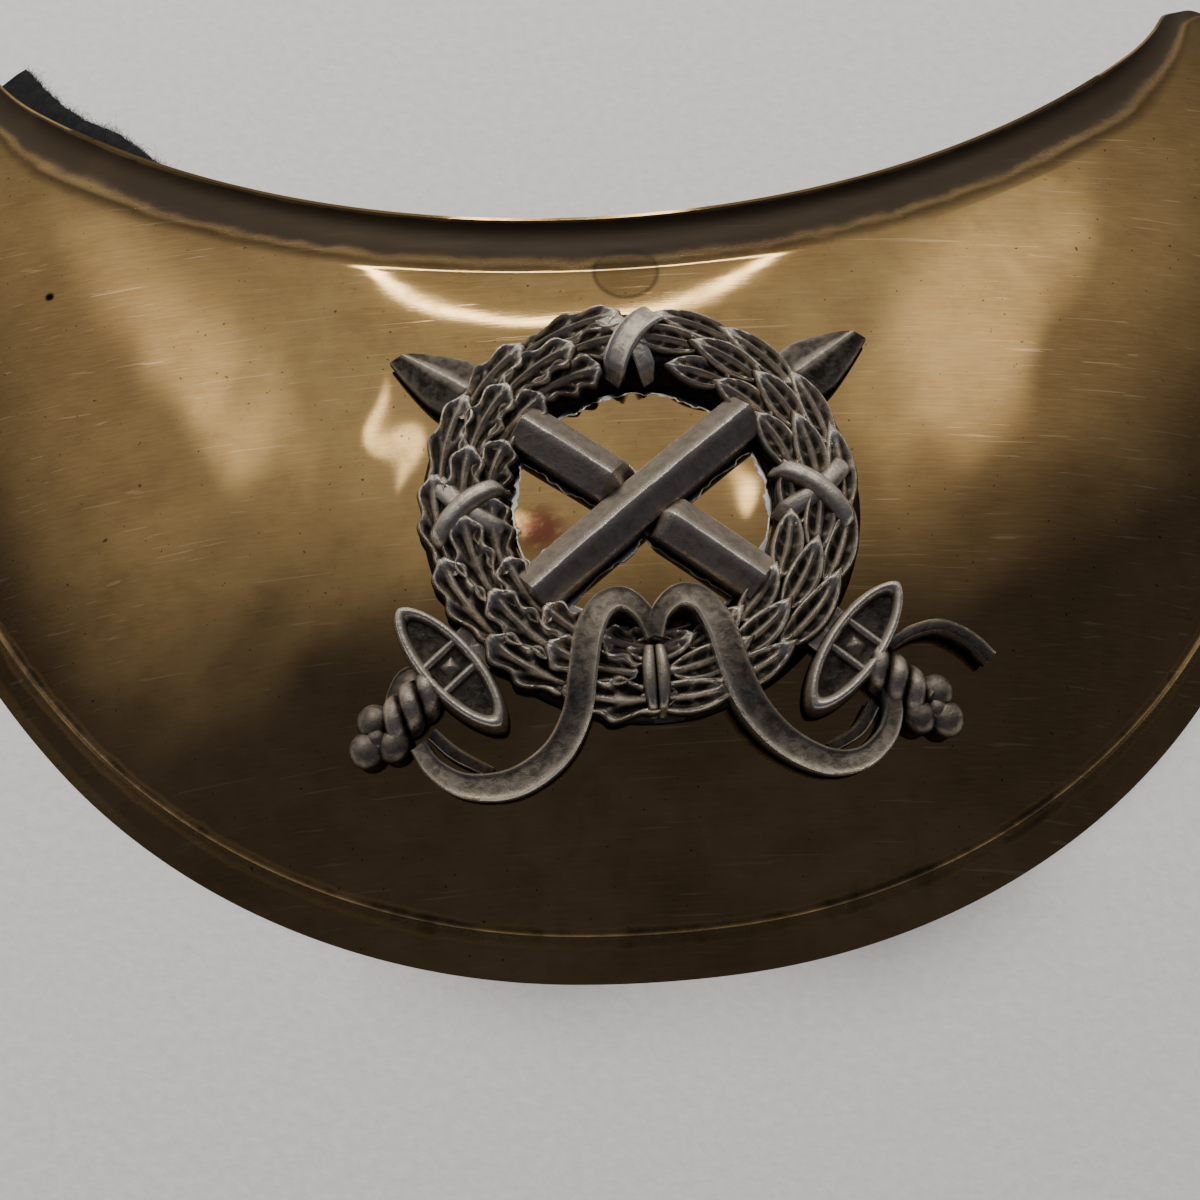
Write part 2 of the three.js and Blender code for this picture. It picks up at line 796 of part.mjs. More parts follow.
// Places a stud upright on the sheet, on the middle line of the horn.
function seatStud(mesh, side) {
  const u = side * (1 - studInset / (hornRise + halfWidth));
  const normal = frontNormal(u, studPlace);
  const seat = frontPoint(ruling(u), studPlace);
  mesh.position.copy(seat.addScaledVector(normal, 2 * pieceClearance));
  mesh.quaternion.setFromUnitVectors(new THREE.Vector3(0, 0, 1), normal);
}

const brass = new THREE.MeshStandardMaterial({ color: 0xb08a3c, roughness: 0.3, metalness: 1 });
const whiteMetal = new THREE.MeshStandardMaterial({ color: 0x8a8880, roughness: 0.35, metalness: 1 });
const felt = new THREE.MeshStandardMaterial({ color: 0x17171a, roughness: 1, metalness: 0 });

function named(name, geometry, material) {
  const mesh = new THREE.Mesh(geometry, material);
  mesh.name = name;
  return mesh;
}

const plate = named('plate', plateGeometry(), brass);
const lining = named('lining', liningGeometry(), felt);
const badge = named('badge', badgeGeometry(), whiteMetal);
const studLeft = named('stud_left', studGeometry(), brass);
const studRight = named('stud_right', studGeometry(), brass);
seatStud(studLeft, -1);
seatStud(studRight, 1);

const gorget = new THREE.Group();
gorget.add(plate, lining, badge, studLeft, studRight);
plate.geometry.computeBoundingBox();
const outline = plate.geometry.boundingBox;
gorget.position.y = -(outline.min.y + outline.max.y) / 2;

export default gorget;
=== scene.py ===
import math
import bpy
import numpy as np
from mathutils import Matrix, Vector


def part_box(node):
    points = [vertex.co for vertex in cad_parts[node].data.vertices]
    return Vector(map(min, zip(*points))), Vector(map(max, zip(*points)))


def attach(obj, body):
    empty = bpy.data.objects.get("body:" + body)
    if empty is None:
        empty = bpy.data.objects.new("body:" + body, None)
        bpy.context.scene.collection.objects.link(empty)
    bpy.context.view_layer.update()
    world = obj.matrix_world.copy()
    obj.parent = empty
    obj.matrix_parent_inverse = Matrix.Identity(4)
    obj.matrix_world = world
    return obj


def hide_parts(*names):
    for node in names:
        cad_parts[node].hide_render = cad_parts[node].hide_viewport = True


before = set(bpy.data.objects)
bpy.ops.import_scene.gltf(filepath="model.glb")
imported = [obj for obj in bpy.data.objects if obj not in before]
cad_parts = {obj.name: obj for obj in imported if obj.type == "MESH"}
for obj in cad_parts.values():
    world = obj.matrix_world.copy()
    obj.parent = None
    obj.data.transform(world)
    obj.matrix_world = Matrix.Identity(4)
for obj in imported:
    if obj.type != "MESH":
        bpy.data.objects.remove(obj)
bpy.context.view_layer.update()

# Lengths in this script are millimetres until a mesh is made; the frame is in metres.
MM = 0.001
plate_low, plate_high = [np.array(corner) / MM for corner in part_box("plate")]

# Plate
GORGET_WIDTH = plate_high[0] - plate_low[0]
HALF_WIDTH = GORGET_WIDTH / 2
OUTLINE_FOOT = plate_low[1]
CROWN_HEIGHT = plate_high[2]
BODY_HEIGHT = 75.5
SHEET_THICKNESS = 0.9
HORN_HEIGHT = 6.0
DOME_ROUNDNESS = 2.6
HORN_TIP_LENGTH = 7.0
NECK_FLUTE_WIDTH = 7.5
NECK_FLUTE_DEPTH = 0.9
NECK_FLUTE_DEEPEST = 1 / 3
RIM_LINE_INSET = 3.8
RIM_LINE_WIDTH = 0.7
RIM_LINE_RISE = 0.17
RIM_BAND_DROP = 0.12
FULL_DETAIL_WIDTH = 34.0
LEAST_SLOPE = 0.05
EDGE_ROUNDING = 0.25
OUTER_ARCS = ((1.37, 4.3), (0.882, 47.3), (1.263, 48.4))
NECK_ARCS = ((1.117, 43.0), (0.319, 31.0))

# Badge
BADGE_ACROSS = 1.7
BADGE_UP = 42.4
CLEARANCE = 0.3
RING_RADIUS = 16.6
RING_WIDTH = 8.2
RING_RISE = 2.6
SWORD_ANGLE = math.radians(38.3)
BLADE_WIDTH = 4.6
BLADE_RISE = 3.4
BLADE_REACH = 27.6
GUARD_AT = 23.7
GUARD_LENGTH = 15.2
GUARD_WIDTH = 5.5
GRIP_LENGTH = 5.6
POMMEL_AT = 32.6


# Plate form

def smooth_share(x, start, end):
    """0 before start and 1 after end; between them the share p eased to p squared times 3 - 2 p."""
    place = np.clip((x - start) / (end - start), 0, 1)
    return place * place * (3 - 2 * place)


def arc_points(arcs, share):
    """Points at shares of the length of a chain of arcs that starts level: each arc adds its chord
    from the turn made so far, sin(end) - sin(start) across and cos(start) - cos(end) up, times radius."""
    radii = [radius * HALF_WIDTH for radius, _ in arcs]
    turns = [math.radians(degrees) for _, degrees in arcs]
    left = share * sum(radius * turn for radius, turn in zip(radii, turns))
    across = np.zeros_like(share)
    up = np.zeros_like(share)
    heading = np.zeros_like(share)
    for radius, full_turn in zip(radii, turns):
        turn = np.clip(left / radius, 0, full_turn)
        across = across + radius * (np.sin(heading + turn) - np.sin(heading))
        up = up + radius * (np.cos(heading) - np.cos(heading + turn))
        heading = heading + turn
        left = left - turn * radius
    return across, up


def rulings(u):
    """The straight line across the plate at each station u, -1 to 1 from horn to horn."""
    side = np.sign(u)
    foot_x, foot_y = arc_points(OUTER_ARCS, np.abs(u))
    head_x, rise = arc_points(NECK_ARCS, np.abs(u))
    foot = np.stack([side * foot_x, foot_y + OUTLINE_FOOT], -1)
    head = np.stack([side * head_x, rise + BODY_HEIGHT + OUTLINE_FOOT], -1)
    width = np.linalg.norm(head - foot, axis=-1)
    return foot, head, rise, width


def width_at(station):
    return float(rulings(np.array(station))[3])


HORN_RISE = float(arc_points(NECK_ARCS, np.array(1.0))[1])
HORN_TIP_START = 1 - HORN_TIP_LENGTH / (HORN_RISE + HALF_WIDTH)


def small_form_scale(width):
    """Small forms are full size where the plate is wide and shrink with it towards the horns."""
    return np.minimum(1, width / FULL_DETAIL_WIDTH)


def dome_height(q, rise):
    """Crown times 1 - (1 - q) to a power: steep at the outer edge, level at the neck."""
    crown = CROWN_HEIGHT + (HORN_HEIGHT - CROWN_HEIGHT) * rise / HORN_RISE
    return crown * (1 - np.maximum(0, 1 - q) ** DOME_ROUNDNESS)


def flute_dip(q, width):
    """The place in from the neck edge times the square of what is left of the flute: deepest a third
    of the way in, steep at the lip, level where it meets the dome."""
    scale = small_form_scale(width)
    place = np.clip((1 - q) * width / (NECK_FLUTE_WIDTH * scale), 0, 1)
    deepest = NECK_FLUTE_DEEPEST * (1 - NECK_FLUTE_DEEPEST) ** 2
    return NECK_FLUTE_DEPTH * scale * place * (1 - place) ** 2 / deepest


def rim_form(q, width):
    """A cosine ridge along the rim line, with the band outside it slightly lower."""
    scale = small_form_scale(width)
    distance = q * width - RIM_LINE_INSET * scale
    ridge = 0.5 + 0.5 * np.cos(np.pi * np.clip(2 * distance / (RIM_LINE_WIDTH * scale), -1, 1))
    band = 1 / (1 + np.exp(np.clip(distance / (0.15 * scale), -30, 30)))
    foot_fade = np.clip(q * width / (1.2 * scale), 0, 1)
    return scale * (RIM_LINE_RISE * ridge - RIM_BAND_DROP * band * foot_fade)


# Shallow dents and swells of the hand-worn sheet: place across and up, radius, depth.
DENTS = (
    (-46.0, -6.0, 6.0, 0.11),
    (-39.0, 5.0, 5.0, -0.08),
    (-31.0, -12.0, 5.5, 0.09),
    (-52.0, 8.0, 5.0, 0.08),
    (-44.0, 18.0, 4.5, -0.06),
    (-33.0, 14.0, 4.0, 0.05),
    (-50.0, -20.0, 7.0, -0.09),
    (-26.0, 2.0, 3.5, 0.04),
    (33.0, 2.0, 5.0, 0.09),
    (42.0, -5.0, 6.0, -0.09),
    (38.0, 12.0, 4.5, 0.07),
    (47.0, 8.0, 5.0, 0.08),
    (30.0, -12.0, 4.5, 0.06),
    (52.0, 20.0, 5.0, -0.07),
    (44.0, 24.0, 4.0, 0.05),
    (8.0, -44.0, 7.0, 0.05),
    (-22.0, -38.0, 6.0, -0.05),
)
# Long shallow waves left by planishing: waves per millimetre across and up, offset, depth.
WAVES = (
    (0.085, 0.03, 0.4, 0.016),
    (-0.05, 0.09, 1.9, 0.014),
    (0.11, -0.07, 3.1, 0.008),
)


def dent_depth(x, y, from_neck):
    """Sum of bell curves, one for each row of the table of dents, and of the long waves, which die
    out towards the stiff flute."""
    depth = np.zeros_like(x)
    for across, up, offset, deep in WAVES:
        depth = depth + deep * np.sin(2 * np.pi * (across * x + up * y) + offset)
    depth = depth * smooth_share(from_neck, 10.0, 26.0)
    for across, up, radius, deep in DENTS:
        depth = depth + deep * np.exp(-((x - across) ** 2 + (y - up) ** 2) / radius ** 2)
    return depth


def plate_front(u, q, with_rim=True):
    """Front surface of the plate: along the ruling by q, up by dome, flute, rim and dents."""
    foot, head, rise, width = rulings(u)
    flat = foot + (head - foot) * q[..., None]
    height = dome_height(q, rise) - flute_dip(q, width)
    if with_rim:
        height = height + rim_form(q, width)
    fade = np.clip(q * 6, 0, 1) * np.clip((1 - q) * 6, 0, 1)
    height = height - fade * dent_depth(flat[..., 0], flat[..., 1], (1 - q) * width)
    return np.stack([flat[..., 0], flat[..., 1], height], -1)


def plate_normal(u, q):
    """Cross product of the surface's two steps, along the plate and up it."""
    step = 0.002
    along = plate_front(u + step, q, False) - plate_front(u - step, q, False)
    up = plate_front(u, q + step, False) - plate_front(u, q - step, False)
    normal = np.cross(along, up)
    return normal / np.linalg.norm(normal, axis=-1, keepdims=True)


def below_front(u, q, depth):
    """Points under the front by depth along the normal; the rim line and, near the horns, the flute
    fade with depth, and points below the floor slide inwards to it."""
    foot, head, _, width = rulings(u)
    point = plate_front(u, q)
    scale = small_form_scale(width)
    flattened = np.clip(depth / 0.5, 0, 1)
    point[..., 2] += (flute_dip(q, width) * (1 - scale) - rim_form(q, width)) * flattened
    base_q = np.minimum(q, 1 - NECK_FLUTE_WIDTH * scale / width)
    normal = np.where((scale < 1)[..., None], plate_normal(u, base_q), plate_normal(u, q))
    point = point - normal * depth[..., None]
    inward = (head - foot) / width[..., None]
    lean = normal[..., 0] * inward[..., 0] + normal[..., 1] * inward[..., 1]
    slope = np.maximum(LEAST_SLOPE, -lean / normal[..., 2])
    slide = np.maximum(0, -point[..., 2]) / slope
    point[..., :2] += inward * slide[..., None]
    point[..., 2] = np.maximum(point[..., 2], 0)
    return point


def plate_height(x, y):
    """Height of the smooth dome over a place in plan: halve the span of stations until the ruling
    runs through the place, then read the dome at the place's share along it."""
    low = np.full_like(x, -0.9)
    high = np.full_like(x, 0.9)
    for _ in range(26):
        middle = (low + high) / 2
        foot, head, _, _ = rulings(middle)
        span = head - foot
        side = span[..., 0] * (y - foot[..., 1]) - span[..., 1] * (x - foot[..., 0])
        low = np.where(side < 0, middle, low)
        high = np.where(side < 0, high, middle)
    foot, head, rise, width = rulings((low + high) / 2)
    share = np.hypot(x - foot[..., 0], y - foot[..., 1]) / width
    return dome_height(share, rise)


def laid_on_plate(points):
    """Points given by x and y from the badge's middle and height off the plate, put on the plate:
    the plate's point under them plus clearance and height along its normal."""
    x = points[..., 0] + BADGE_ACROSS
    y = points[..., 1] + BADGE_UP + OUTLINE_FOOT
    step = 0.05
    z = plate_height(x, y)
    slope_x = (z - plate_height(x + step, y)) / step
    slope_y = (z - plate_height(x, y + step)) / step
    normal = np.stack([slope_x, slope_y, np.ones_like(z)], -1)
    normal = normal / np.linalg.norm(normal, axis=-1, keepdims=True)
    return np.stack([x, y, z], -1) + normal * (points[..., 2] + CLEARANCE)[..., None]


# Meshes

def grid_faces(rows, columns, wrap_rows=False, wrap_columns=False):
    """Quads over a grid of points counted row by row."""
    r = np.arange(rows if wrap_rows else rows - 1)
    c = np.arange(columns if wrap_columns else columns - 1)
    r, c = np.meshgrid(r, c, indexing="ij")
    r2 = (r + 1) % rows
    c2 = (c + 1) % columns
    quads = np.stack([r * columns + c, r2 * columns + c, r2 * columns + c2, r * columns + c2], -1)
    return quads.reshape(-1, 4)


def outward(points, faces):
    """Faces turned round as a whole if the body's signed volume is negative."""
    corners = points[faces]
    a, b, c, d = (corners[:, k] for k in range(4))
    volume = np.einsum("ij,ij->i", a, np.cross(b, c)).sum() + np.einsum("ij,ij->i", a, np.cross(c, d)).sum()
    return faces if volume > 0 else faces[:, ::-1]


def closed_loops(points):
    """A closed body from loops of points, rows along and columns round; the two ends are closed by
    strips between points facing each other across the loop, so loops have an even number of points."""
    rows, columns = points.shape[:2]
    faces = [grid_faces(rows, columns, wrap_columns=True)]
    half = columns // 2
    for row, reverse in ((0, False), (rows - 1, True)):
        k = np.arange(half - 1)
        strip = np.stack([k, k + 1, columns - 2 - k, columns - 1 - k], -1) + row * columns
        faces.append(strip[:, ::-1] if reverse else strip)
    flat = points.reshape(-1, 3)
    joined = np.concatenate(faces)
    return flat, outward(flat, joined)


def slab(top, base):
    """A closed body under a grid of top points, an odd number across: each row goes down to a height
    at both sides and back along three points of the underside."""
    under = top[:, [-1, top.shape[1] // 2, 0]].copy()
    under[..., 2] = base
    return closed_loops(np.concatenate([top, under], 1))


def ball(centre, radius, squash):
    """A round knob: latitude rings that close in to small caps at both poles."""
    latitude = np.linspace(-0.497 * np.pi, 0.497 * np.pi, 14)[:, None]
    longitude = np.linspace(0, 2 * np.pi, 20, endpoint=False)[None, :]
    x = centre[0] + radius * np.cos(latitude) * np.cos(longitude)
    y = centre[1] + radius * np.cos(latitude) * np.sin(longitude)
    z = centre[2] + squash * radius * np.sin(latitude) * np.ones_like(longitude)
    return closed_loops(np.stack([x, y, z], -1))


class Casting:
    """Bodies gathered for one mesh, each with a value from 0 in the hollows, dark with patina and painted
    shade, to 1 on the ridges, light where worn and with painted highlight.
    """

    def __init__(self):
        self.points = []
        self.faces = []
        self.wear_and_shading = []
        self.count = 0

    def add(self, body, wear_and_shading=None):
        points, faces = body
        self.points.append(points)
        self.faces.append(faces + self.count)
        self.wear_and_shading.append(np.full(len(points), 0.5) if wear_and_shading is None else wear_and_shading)
        self.count += len(points)

    def add_slab(self, top, base, wear_and_shading):
        under = np.zeros((len(wear_and_shading), 3))
        self.add(slab(top, base), np.concatenate([wear_and_shading, under], 1).reshape(-1))

    def made(self, name, laid=True):
        points = np.concatenate(self.points)
        if laid:
            points = laid_on_plate(points)
        wear_and_shading = np.concatenate(self.wear_and_shading)
        return mesh_object(name, points, np.concatenate(self.faces), {"wear_and_shading": wear_and_shading})


def mesh_object(name, points, faces, values=None, sharp_angle=40):
    """An object at the origin from points in millimetres; sharp edges are marked by angle, and each
    of the named values is kept for its point."""
    mesh = bpy.data.meshes.new(name)
    mesh.from_pydata((points * MM).tolist(), [], faces.tolist())
    mesh.validate()
    mesh.shade_smooth()
    mesh.set_sharp_from_angle(angle=math.radians(sharp_angle))
    for label, numbers in (values or {}).items():
        layer = mesh.attributes.new(label, "FLOAT", "POINT")
        layer.data.foreach_set("value", np.asarray(numbers, dtype=np.float32))
    thing = bpy.data.objects.new(name, mesh)
    bpy.context.scene.collection.objects.link(thing)
    return thing


# Plate, lining and studs

def plate_stations(body, tip):
    """Even stations over the body, then closing in round each horn tip like a quarter circle."""
    even = np.linspace(0, HORN_TIP_START, body + 1)
    turn = 0.47 * np.pi * np.arange(1, tip + 1) / tip
    close = HORN_TIP_START + (1 - HORN_TIP_START) * np.sin(turn)
    right = np.concatenate([even, close])
    keep = np.concatenate([np.ones_like(even), np.cos(turn)])
    return np.concatenate([-right[:0:-1], right]), np.concatenate([keep[:0:-1], keep])


def across_rows(start, end, rim, dome, flute, width):
    """Shares across the plate: close together over the rim line and the flute."""
    scale = small_form_scale(width)
    rim_end = np.minimum((RIM_LINE_INSET + 1.2) * scale / width, 0.5)
    flute_start = 1 - NECK_FLUTE_WIDTH * scale / width
    first = start + (rim_end - start) * np.linspace(0, 1, rim, endpoint=False)
    middle = rim_end + (flute_start - rim_end) * np.linspace(0, 1, dome, endpoint=False)
    last = flute_start + (end - flute_start) * np.linspace(0, 1, flute)
    return np.concatenate([first, middle, last])


def sheet_loops(u, keep, shares, depth_front, depth_back, rounding):
    """Loops round the sheet's section at each station: front from foot to neck, a rounded neck edge,
    and the back down again."""
    loops = []
    for station, kept, share in zip(u, keep, shares):
        width = width_at(station)
        edge = share[-1] + rounding / width
        depth = np.full(len(share), depth_front)
        q = np.concatenate([share, [edge], [edge], share[::-1]])
        back = depth - depth_front + depth_back
        d = np.concatenate([depth, [depth_front + rounding], [depth_back - rounding], back])
        q = 0.5 + (q - 0.5) * kept
        loops.append(below_front(np.full_like(q, station), q, d))
    return np.stack(loops)


def plate_grime_and_shade(station, share):
    """How dark old polish and painted shade make the brass: bell curves over the flute's bottom, where the
    flute's dark reflection is painted, and on both sides of the rim line, where the shade of a groove beside
    its ridge and of the step down to the band is painted, and a darkening at the outer edge, by distance in
    from the two edges."""
    width = width_at(station)
    scale = small_form_scale(width)
    from_neck = (1 - share) * width / scale
    from_foot = share * width / scale
    # flute: painted dark reflection in the flute bottom, with old polish; line and band: painted shade
    # beside the rim line's ridge and at its step; foot: darker towards the outer edge.
    flute = smooth_share(from_neck, 0.2, 0.6) * (1 - smooth_share(from_neck, 3.2, 7.6))
    flute = flute * (1 - 0.12 * smooth_share(np.abs(station), 0.4, 0.8))
    line = np.exp(-((from_foot - RIM_LINE_INSET - 0.4) / 0.6) ** 2)
    band = np.exp(-((from_foot - RIM_LINE_INSET + 0.7) / 0.5) ** 2)
    foot = 1 - smooth_share(from_foot, 0.0, 2.5)
    return np.clip(flute + 0.7 * line + 0.5 * band + 0.25 * foot, 0, 1)


def make_plate():
    """The sheet's loops at close stations, with its old polish and painted shade kept for each point."""
    u, keep = plate_stations(200, 14)
    shares = []
    for station in u:
        width = width_at(station)
        shares.append(across_rows(0, 1 - EDGE_ROUNDING / width, 26, 46, 34, width))
    points = sheet_loops(u, keep, shares, 0.0, SHEET_THICKNESS, EDGE_ROUNDING)
    flat, faces = closed_loops(points)
    half = np.stack([plate_grime_and_shade(station, share) for station, share in zip(u, shares)])
    edge = half[:, -1:]
    grime_and_shade = np.concatenate([half, edge, edge, half[:, ::-1]], 1)
    return mesh_object("plate_skin", flat, faces, {"grime_and_shade": grime_and_shade.reshape(-1)}, sharp_angle=35)


# Felt
FELT_TOP = SHEET_THICKNESS + CLEARANCE
FELT_THICKNESS = 1.5
FELT_FLOOR_CLEARANCE = 0.6
FELT_INSET = 1.9
FELT_PEEK = 4.8
# Stations towards the left horn where the felt's overhang starts to rise, reaches full, turns and has fallen
# away.
PEEK_START, PEEK_FULL, PEEK_TURN, PEEK_END = 0.47, 0.74, 0.95, 0.995


def felt_overhang(u):
    """Out from under the neck edge near the left horn: rises smoothly to its full reach, then falls
    away at the horn's tip."""
    rising = smooth_share(-u, PEEK_START, PEEK_FULL)
    falling = 1 - smooth_share(-u, PEEK_TURN, PEEK_END)
    return FELT_PEEK * rising * falling


def lowest_share(u, height):
    """The share up each ruling at which the dome reaches a height: halve the span until it's met."""
    low = np.zeros_like(u)
    high = np.full_like(u, 0.8)
    _, _, rise, _ = rulings(u)
    for _ in range(26):
        middle = (low + high) / 2
        under = dome_height(middle, rise) < height
        low = np.where(under, middle, low)
        high = np.where(under, high, middle)
    return high


def make_lining(rng):
    """The felt follows the plate's back; its surfaces are roughened, and its free edge is uneven."""
    u = np.linspace(-HORN_TIP_START, HORN_TIP_START, 321)
    start = lowest_share(u, FELT_TOP + FELT_THICKNESS + FELT_FLOOR_CLEARANCE)
    count = 44
    spread = np.linspace(0, 1, count) ** 0.8
    _, _, _, line_width = rulings(u)
    end = 1 - FELT_INSET * small_form_scale(line_width) / line_width
    share = start[:, None] + (end - start)[:, None] * spread
    stations = np.broadcast_to(u[:, None], share.shape)
    front = below_front(stations, share, np.full(share.shape, FELT_TOP))
    back = below_front(stations, share, np.full(share.shape, FELT_TOP + FELT_THICKNESS))
    foot, head, _, width = rulings(u)
    outwards = (head - foot) / width[:, None]
    ragged = 1 + 0.012 * np.sin(u * 41) + 0.01 * np.sin(u * 131 + 1) + 0.012 * rng.normal(size=u.size)
    reach = felt_overhang(u) * np.clip(ragged, 0.6, 1.3)
    extra = []
    for step, drop in ((0.35, 0.02), (0.7, 0.1), (1.0, 0.28)):
        upper = front[:, -1].copy()
        lower = back[:, -1].copy()
        for edge, sink in ((upper, -drop), (lower, drop)):
            edge[:, :2] += outwards * (reach * step)[:, None]
            edge[:, 2] += sink
        extra.append((upper, lower))
    upper = np.concatenate([front] + [pair[0][:, None] for pair in extra], 1)
    lower = np.concatenate([back] + [pair[1][:, None] for pair in extra], 1)
    upper[:, 1:, 2] -= np.abs(rng.normal(size=upper[:, 1:, 2].shape)) * 0.05
    lower[:, 1:-1, 2] += np.abs(rng.normal(size=lower[:, 1:-1, 2].shape)) * 0.05
    loops = np.concatenate([upper, lower[:, ::-1]], 1)
    flat, faces = closed_loops(loops)
    felt = mesh_object("felt_lining", flat, faces, sharp_angle=80)
    middle = (upper + lower) / 2
    step_a = middle[1:, :-1] - middle[:-1, :-1]
    step_b = middle[:-1, 1:] - middle[:-1, :-1]
    area = np.linalg.norm(np.cross(step_a, step_b), axis=-1).sum()
    return felt, float(area), (upper[:, -1] + lower[:, -1]) / 2, reach


def make_fuzz(rng, edge, reach):
    """Loose fibres along the free felt edge: tapering four-sided threads that bend as they leave it."""
    shown = np.flatnonzero(reach > 0.3)
    count = 2600
    pick = rng.choice(shown[:-1], count)
    mix = rng.random((count, 1))
    root = edge[pick] * (1 - mix) + edge[pick + 1] * mix
    root[:, 2] += rng.uniform(-0.6, 0.35, count)
    heading = rng.uniform(0.15 * np.pi, 0.95 * np.pi, count)
    length = rng.gamma(2.0, 0.24, count) + 0.15
    bend = rng.normal(0, 1.1, count)
    lift = rng.uniform(-0.25, 0.75, count)
    t = np.linspace(0, 1, 6)[None, :]
    turn = heading[:, None] + bend[:, None] * t
    x = root[:, 0:1] + length[:, None] * t * np.cos(turn) - 0.25 * np.cos(heading)[:, None]
    y = root[:, 1:2] + length[:, None] * t * np.sin(turn) - 0.25 * np.sin(heading)[:, None]
    z = root[:, 2:3] + length[:, None] * t * lift[:, None]
    line = np.stack([x, y, np.maximum(z, 0.1)], -1)
    radius = 0.02 * (1 - 0.7 * t)[..., None]
    corners = []
    for k in range(4):
        angle = k * math.pi / 2
        side = np.stack([-np.sin(turn) * math.cos(angle), np.cos(turn) * math.cos(angle),
                         np.full(turn.shape, math.sin(angle))], -1)
        corners.append(line + side * radius)
    loops = np.stack(corners, 2)
    fibres = Casting()
    for loop in loops:
        fibres.add(closed_loops(loop))
    return fibres.made("felt_fuzz", laid=False)


STUD_INSET = 10.0
STUD_PLACE = 0.5
# A stud's section from the plate up: radius, height.
STUD_PROFILE = (
    (0.02, 0.0), (1.2, 0.0), (1.3, 0.1), (1.3, 1.5), (1.35, 1.6), (2.45, 1.6), (2.58, 1.7),
    (2.6, 1.9), (2.6, 2.45), (2.54, 2.62), (2.4, 2.7), (1.9, 2.7), (1.2, 2.7), (0.02, 2.7),
)


def make_stud(name, side):
    """A turned stud: rings round its axis by a profile with small rounded corners."""
    u = np.array(side * (1 - STUD_INSET / (HORN_RISE + HALF_WIDTH)))
    share = np.array(STUD_PLACE)
    normal = plate_normal(u, share)
    seat = plate_front(u, share) + normal * 2 * CLEARANCE
    profile = np.array(STUD_PROFILE)
    angle = np.linspace(0, 2 * np.pi, 48, endpoint=False)
    tangent = np.cross(normal, [0.0, 1.0, 0.0])
    tangent = tangent / np.linalg.norm(tangent)
    other = np.cross(normal, tangent)
    ring = np.cos(angle)[:, None] * tangent + np.sin(angle)[:, None] * other
    points = seat + profile[:, 0, None, None] * ring[None] + profile[:, 1, None, None] * normal
    flat, faces = closed_loops(points)
    stud = mesh_object(name + "_turned", flat, faces, sharp_angle=30)
    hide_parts(name)
    return stud


# Badge

def ring_rise(from_middle):
    """The wreath's arch: its rise times the root of 1 minus the share out from its middle squared."""
    share = np.clip(np.abs(from_middle) / (RING_WIDTH / 2), 0, 1)
    return RING_RISE * np.sqrt(np.maximum(0.05, 1 - share ** 2))


def on_ring(radius, angle):
    """Places in plan at a radius and angle round the wreath's middle."""
    return np.stack([radius * np.cos(angle), radius * np.sin(angle)], -1)


def add_ring(casting):
    """The wreath's core: a low arched band carried round a circle, roughened by two waves."""
    angle = np.linspace(0, 2 * np.pi, 240, endpoint=False)[:, None]
    share = np.linspace(-1, 1, 22)[None, :]
    offset = share * RING_WIDTH / 2
    height = ring_rise(offset) * np.ones_like(angle)
    height = height - 0.35 + 0.12 * np.sin(37 * angle + 5 * share) * np.cos(23 * angle - 4 * share)
    flat = on_ring(RING_RADIUS + offset, angle + 0 * share)
    top = np.concatenate([flat, height[..., None]], -1)
    bottom = top[:, ::-1].copy()
    bottom[..., 2] = 0.0
    loops = np.concatenate([top, bottom], 1)
    rows, columns = loops.shape[:2]
    points = loops.reshape(-1, 3)
    faces = outward(points, grid_faces(rows, columns, wrap_rows=True, wrap_columns=True))
    # The core is 0.1 throughout: dark patina and painted shade between the leaves.
    casting.add((points, faces), np.full(len(points), 0.1))


